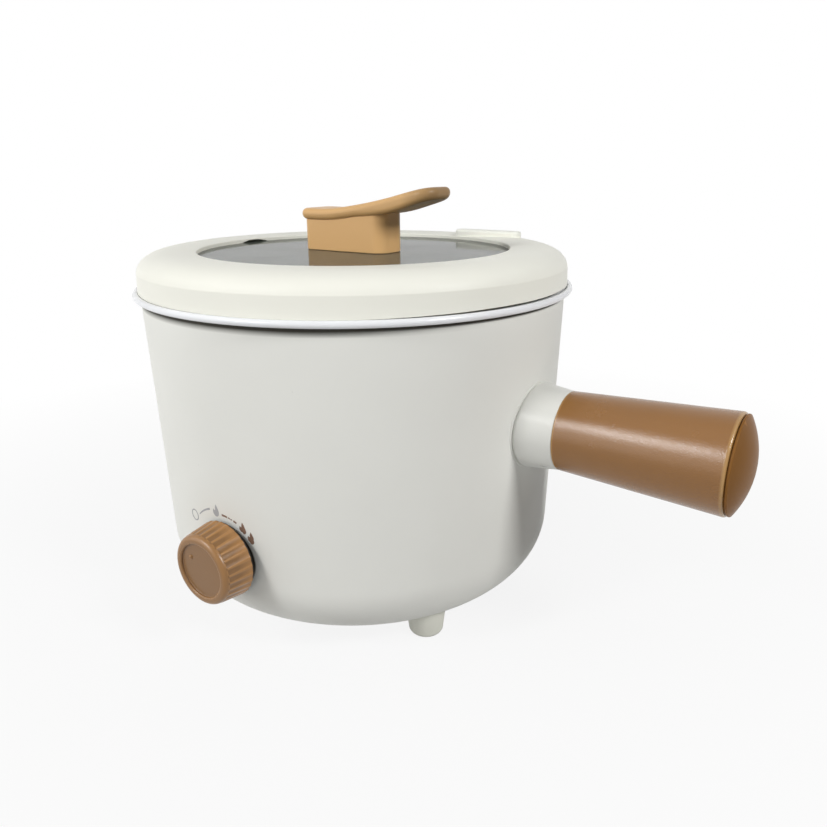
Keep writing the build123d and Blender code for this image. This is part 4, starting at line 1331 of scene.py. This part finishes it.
class PAN_OT_lid_ring(bpy.types.Operator):
    """Build the lid's domed ring with its skirt, lip and steam slot"""

    bl_idname = "pan.lid_ring"
    bl_label = "Lid ring"

    def execute(self, context):
        lid = context.scene.pan_lid
        glass_top = GLASS_HIGH.z
        glass_low = GLASS_LOW.z
        roof = glass_top - lid.roof_gap
        well_wall = lid.well_radius + lid.wall
        bm = turned(
            [
                (lid.skirt_radius, lid.skirt_height, lid.lip_round / 3),
                *dome_section(lid),
                (lid.window_radius, lid.lip_height, lid.lip_round),
                (lid.window_radius, glass_top, 0),
                (lid.well_radius, glass_top, 0),
                (lid.well_radius, glass_low, 0),
                (well_wall, glass_low, 0),
                (well_wall, roof, 0),
                (lid.crease_radius - 3 * lid.wall, roof, 0),
                (lid.crease_radius - lid.wall, lid.crease_height, 0),
                (lid.skirt_radius - lid.wall, lid.skirt_height, lid.lip_round),
            ],
            closed=True,
        )
        self.sag_skirt(bm, lid)
        self.cut_vent(bm, lid, glass_top)
        finish_piece(bm, "domed_lid_ring", "lid_cream", "lid", "lid_cream", "lid_ring", sharp=CREASE_ANGLE)
        return {"FINISHED"}

    def sag_skirt(self, bm, lid):
        """Lower the skirt's edge on one side, where it nearly meets the rim."""
        start, full = math.cos(lid.sag_reach), math.cos(lid.sag_core)
        for vert in bm.verts:
            facing = math.cos(math.atan2(vert.co.y, vert.co.x) - lid.sag_angle)
            along = min(max((facing - start) / (full - start), 0), 1)
            low = (lid.crease_height - vert.co.z) / (lid.crease_height - lid.skirt_height)
            vert.co.z -= lid.skirt_sag * along * max(low, 0)

    def cut_vent(self, bm, lid, glass_top):
        """Raise the lip's underside into a slot opposite the handle."""
        half = lid.vent_width / 2
        inner = (lid.window_radius + lid.well_radius) / 2
        for across in (-half, -half + lid.vent_slope, half - lid.vent_slope, half):
            cut_across(bm, (0, lid.vent_shift + across, 0), (0, 1, 0))
        for vert in bm.verts:
            open_share = (half - abs(vert.co.y - lid.vent_shift)) / lid.vent_slope
            under_lip = vert.co.x < 0 and abs(vert.co.z - glass_top) < MERGE_GAP
            if under_lip and open_share > 0:
                full = lid.vent_height if vert.co.xy.length < inner else 0
                vert.co.z += full * min(open_share, 1)


def sweep_rise(along):
    """Share of the plate's rise at a share of its length, smooth through the sweep's points."""
    points = SWEEP_SHARES
    slopes = [0.0]
    for before, after in zip(points, points[2:]):
        slopes.append((after[1] - before[1]) / (after[0] - before[0]))
    slopes.append(0.0)
    index = max(number for number in range(len(points) - 1) if along >= points[number][0] or number == 0)
    (start, low), (end, high) = points[index], points[index + 1]
    span = end - start
    t = (along - start) / span
    from_low = (1 + 2 * t) * (1 - t) ** 2 * low + t * (1 - t) ** 2 * span * slopes[index]
    from_high = t**2 * (3 - 2 * t) * high + t**2 * (t - 1) * span * slopes[index + 1]
    return from_low + from_high


class PAN_OT_lid_grip(bpy.types.Operator):
    """Build the lid grip's block and its swept plate"""

    bl_idname = "pan.lid_grip"
    bl_label = "Lid grip"

    def execute(self, context):
        grip = context.scene.pan_lid_grip
        finish_piece(self.block(grip), "grip_block", "light_tan", "lid", "tan_plastic", "lid_grip_block")
        finish_piece(self.plate(grip), "grip_plate", "light_tan", "lid", "tan_plastic", "lid_grip_plate")
        return {"FINISHED"}

    def rise_at(self, across):
        """Height of the plate's underside at a place along it."""
        plate_rise = PLATE_HIGH.z - PLATE_LOW.z - bpy.context.scene.pan_lid_grip.plate_thickness
        along = (across - PLATE_LOW.x) / (PLATE_HIGH.x - PLATE_LOW.x)
        return PLATE_LOW.z + plate_rise * sweep_rise(min(max(along, 0), 1))

    def slice_up(self, bm, low, high, cuts):
        """Cut a piece across into strips, so that it can bend."""
        for number in range(1, cuts):
            cut_across(bm, (low + (high - low) * number / cuts, 0, 0), (1, 0, 0))

    def block(self, grip):
        """Upright block with rounded corners, its top following the plate."""
        top = BLOCK_HIGH.z
        bm = rounded_prism(BLOCK_LOW, BLOCK_HIGH, [grip.block_corner] * 4, top - BLOCK_LOW.z)
        bevel(bm, rim_edges(bm, BLOCK_LOW.z), grip.block_foot_round, "EDGES", ROUND_STEPS // 2)
        self.slice_up(bm, BLOCK_LOW.x, BLOCK_HIGH.x, grip.plate_cuts // 2)
        for vert in bm.verts:
            if vert.co.z > top - MERGE_GAP:
                vert.co.z = self.rise_at(vert.co.x) + grip.block_foot_round
        return bm

    def plate(self, grip):
        """Swept plate with rounded corners and well rounded edges."""
        radii = [grip.plate_tail, grip.plate_nose, grip.plate_nose, grip.plate_tail]
        bm = rounded_prism(PLATE_LOW, PLATE_HIGH, radii, grip.plate_thickness)
        rims = rim_edges(bm, PLATE_LOW.z) + rim_edges(bm, PLATE_LOW.z + grip.plate_thickness)
        bevel(bm, rims, grip.plate_round, "EDGES", ROUND_STEPS)
        self.slice_up(bm, PLATE_LOW.x, PLATE_HIGH.x, grip.plate_cuts)
        middle = PLATE_LOW.z + grip.plate_thickness / 2
        start = grip.swell_start_share
        for vert in bm.verts:
            along = (vert.co.x - PLATE_LOW.x) / (PLATE_HIGH.x - PLATE_LOW.x)
            if vert.co.z < middle:
                vert.co.z -= grip.nose_swell * math.sin(math.pi * max(along - start, 0) / (1 - start))
            vert.co.z += self.rise_at(vert.co.x) - PLATE_LOW.z
        return bm


class PAN_OT_lid_tab(bpy.types.Operator):
    """Build the low tab beside the window"""

    bl_idname = "pan.lid_tab"
    bl_label = "Lid tab"

    def execute(self, context):
        grip = context.scene.pan_lid_grip
        low = Vector((TAB_LOW.x, TAB_LOW.y, GLASS_HIGH.z))
        bm = rounded_prism(low, TAB_HIGH, [grip.tab_corner] * 4, TAB_HIGH.z - low.z)
        bevel(bm, rim_edges(bm, TAB_HIGH.z), grip.tab_round, "EDGES", ROUND_STEPS)
        finish_piece(bm, "raised_tab", "tab_white", "lid", "lid_cream", "lid_tab")
        return {"FINISHED"}


class PAN_OT_node_finishes(bpy.types.Operator):
    """Give every CAD node that stays in view its finish"""

    bl_idname = "pan.node_finishes"
    bl_label = "Other finishes"

    def execute(self, context):
        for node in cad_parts.values():
            for held in node.material_slots:
                if held.material.name in FINISHES:
                    held.material = finish_of(held.material.name)
        return {"FINISHED"}


WHITE = (1, 1, 1, 1)
PAPER_GREY = (0.6, 0.6, 0.6, 1)
FLOOR_CUTS = 8
CLIP_START = 0.01
# Place, width, and whether mirror images show the lamp
LAMPS = {
    "key": ((-0.29, -0.88, 0.72), 0.2, True),
    "top": ((-0.05, -0.30, 1.20), 0.7, True),
    "side": ((0.80, -0.08, 0.64), 0.2, True),
    "low": ((-0.52, -0.80, 0.42), 1.1, True),
    "fill": ((0.35, -1.0, 0.35), 0.8, True),
    "back": ((-0.75, 0.80, 0.22), 1.0, False),
}


class PAN_OT_stage(bpy.types.Operator):
    """Set the floor, the lamps, the surrounding light and the camera"""

    bl_idname = "pan.stage"
    bl_label = "Stage"

    def execute(self, context):
        studio = context.scene.pan_studio
        context.scene.view_settings.view_transform = "Standard"
        self.floor(studio)
        self.world(context.scene, studio)
        for name, (place, width, mirrored) in LAMPS.items():
            lamp = self.lamp(studio, name, Vector(place), width)
            lamp.visible_glossy = mirrored
        self.camera(context.scene, studio)
        return {"FINISHED"}

    def seen_directly(self, tree):
        """One where the eye, a mirror or glass looks, and zero for other light."""
        path = add(tree, "LightPath")
        sums = path.outputs["Is Camera Ray"]
        for name in ("Is Glossy Ray", "Is Transmission Ray"):
            sums = add(tree, "Math", {0: sums, 1: path.outputs[name]}, operation="MAXIMUM").outputs[0]
        return sums

    def floor(self, studio):
        """Pale floor that shows white where it is lit and keeps a soft shadow."""
        bm = bmesh.new()
        bmesh.ops.create_grid(bm, x_segments=FLOOR_CUTS, y_segments=FLOOR_CUTS, size=studio.floor_size / 2)
        mesh = bpy.data.meshes.new("pale_floor")
        bm.to_mesh(mesh)
        bm.free()
        floor = bpy.data.objects.new("pale_floor", mesh)
        bpy.context.scene.collection.objects.link(floor)
        material = bpy.data.materials.new("floor_paper")
        material.use_nodes = True
        tree = material.node_tree
        tree.nodes.clear()
        paper = add(tree, "BsdfDiffuse", {"Color": PAPER_GREY})
        glow = add(tree, "Emission", {"Color": WHITE, "Strength": 1.0})
        place = add(tree, "TexCoord").outputs["Object"]
        distance = add(tree, "VectorMath", {0: place}, operation="LENGTH").outputs["Value"]
        cover = spread(tree, distance, studio.floor_cover, 1, studio.floor_near, studio.floor_far)
        lifted = product(tree, self.seen_directly(tree), cover)
        mix = add(tree, "MixShader", {0: lifted, 1: paper.outputs[0], 2: glow.outputs[0]})
        output = add(tree, "OutputMaterial", {"Surface": mix.outputs[0]})
        output.is_active_output = True
        mesh.materials.append(material)

    def world(self, scene, studio):
        """White surround to the eye, and a low even light on the pan."""
        world = bpy.data.worlds.new("studio_surround")
        world.use_nodes = True
        tree = world.node_tree
        tree.nodes.clear()
        strength = spread(tree, self.seen_directly(tree), studio.ambient, 1, 0, 1)
        background = add(tree, "Background", {"Color": WHITE, "Strength": strength})
        add(tree, "OutputWorld", {"Surface": background.outputs[0]})
        scene.world = world

    def lamp(self, studio, name, place, width):
        """Square lamp turned to the pan."""
        light = bpy.data.lights.new(name + "_lamp", "AREA")
        light.energy = getattr(studio, name + "_power")
        light.size = width
        lamp = bpy.data.objects.new(name + "_lamp", light)
        lamp.location = place
        lamp.rotation_euler = (Vector(studio.lamp_aim) - place).to_track_quat("-Z", "Y").to_euler()
        bpy.context.scene.collection.objects.link(lamp)
        return lamp

    def camera(self, scene, studio):
        """Camera at the photograph's angle."""
        view = bpy.data.cameras.new("photo_camera")
        view.sensor_fit = "HORIZONTAL"
        view.lens = view.sensor_width * studio.focal_share
        view.clip_start = CLIP_START
        camera = bpy.data.objects.new("photo_camera", view)
        eye = Vector(studio.eye)
        look = (Vector(studio.aim) - eye).to_track_quat("-Z", "Y").to_matrix().to_4x4()
        camera.matrix_world = Matrix.Translation(eye) @ look @ Matrix.Rotation(studio.roll, 4, "Z")
        scene.collection.objects.link(camera)
        scene.camera = camera


OPERATORS = (
    PAN_OT_shell,
    PAN_OT_pot,
    PAN_OT_feet,
    PAN_OT_handle,
    PAN_OT_knob,
    PAN_OT_gland,
    PAN_OT_dial,
    PAN_OT_lid_ring,
    PAN_OT_lid_grip,
    PAN_OT_lid_tab,
    PAN_OT_node_finishes,
    PAN_OT_stage,
)


class PAN_PT_pieces(bpy.types.Panel):
    """Buttons that build each piece, and the sizes behind them."""

    bl_idname = "PAN_PT_pieces"
    bl_label = "Cooking pan"
    bl_space_type = "VIEW_3D"
    bl_region_type = "UI"
    bl_category = "Cooking pan"

    def draw(self, context):
        for operator in OPERATORS:
            self.layout.operator(operator.bl_idname)
        for name, group in PROPERTY_GROUPS.items():
            box = self.layout.box()
            box.label(text=group.__doc__)
            for key in group.__annotations__:
                box.prop(getattr(context.scene, name), key)


CLASSES = (*PROPERTY_GROUPS.values(), *OPERATORS, PAN_PT_pieces)


def register():
    """Register the classes and hang the property groups on the scene."""
    for item in CLASSES:
        bpy.utils.register_class(item)
    for name, group in PROPERTY_GROUPS.items():
        setattr(bpy.types.Scene, name, bpy.props.PointerProperty(type=group))


def unregister():
    """Take the property groups and the classes away again."""
    for name in PROPERTY_GROUPS:
        delattr(bpy.types.Scene, name)
    for item in reversed(CLASSES):
        bpy.utils.unregister_class(item)


def main():
    """Build every piece in order."""
    register()
    for operator in OPERATORS:
        group, name = operator.bl_idname.split(".")
        getattr(getattr(bpy.ops, group), name)()


if __name__ == "__main__":
    main()
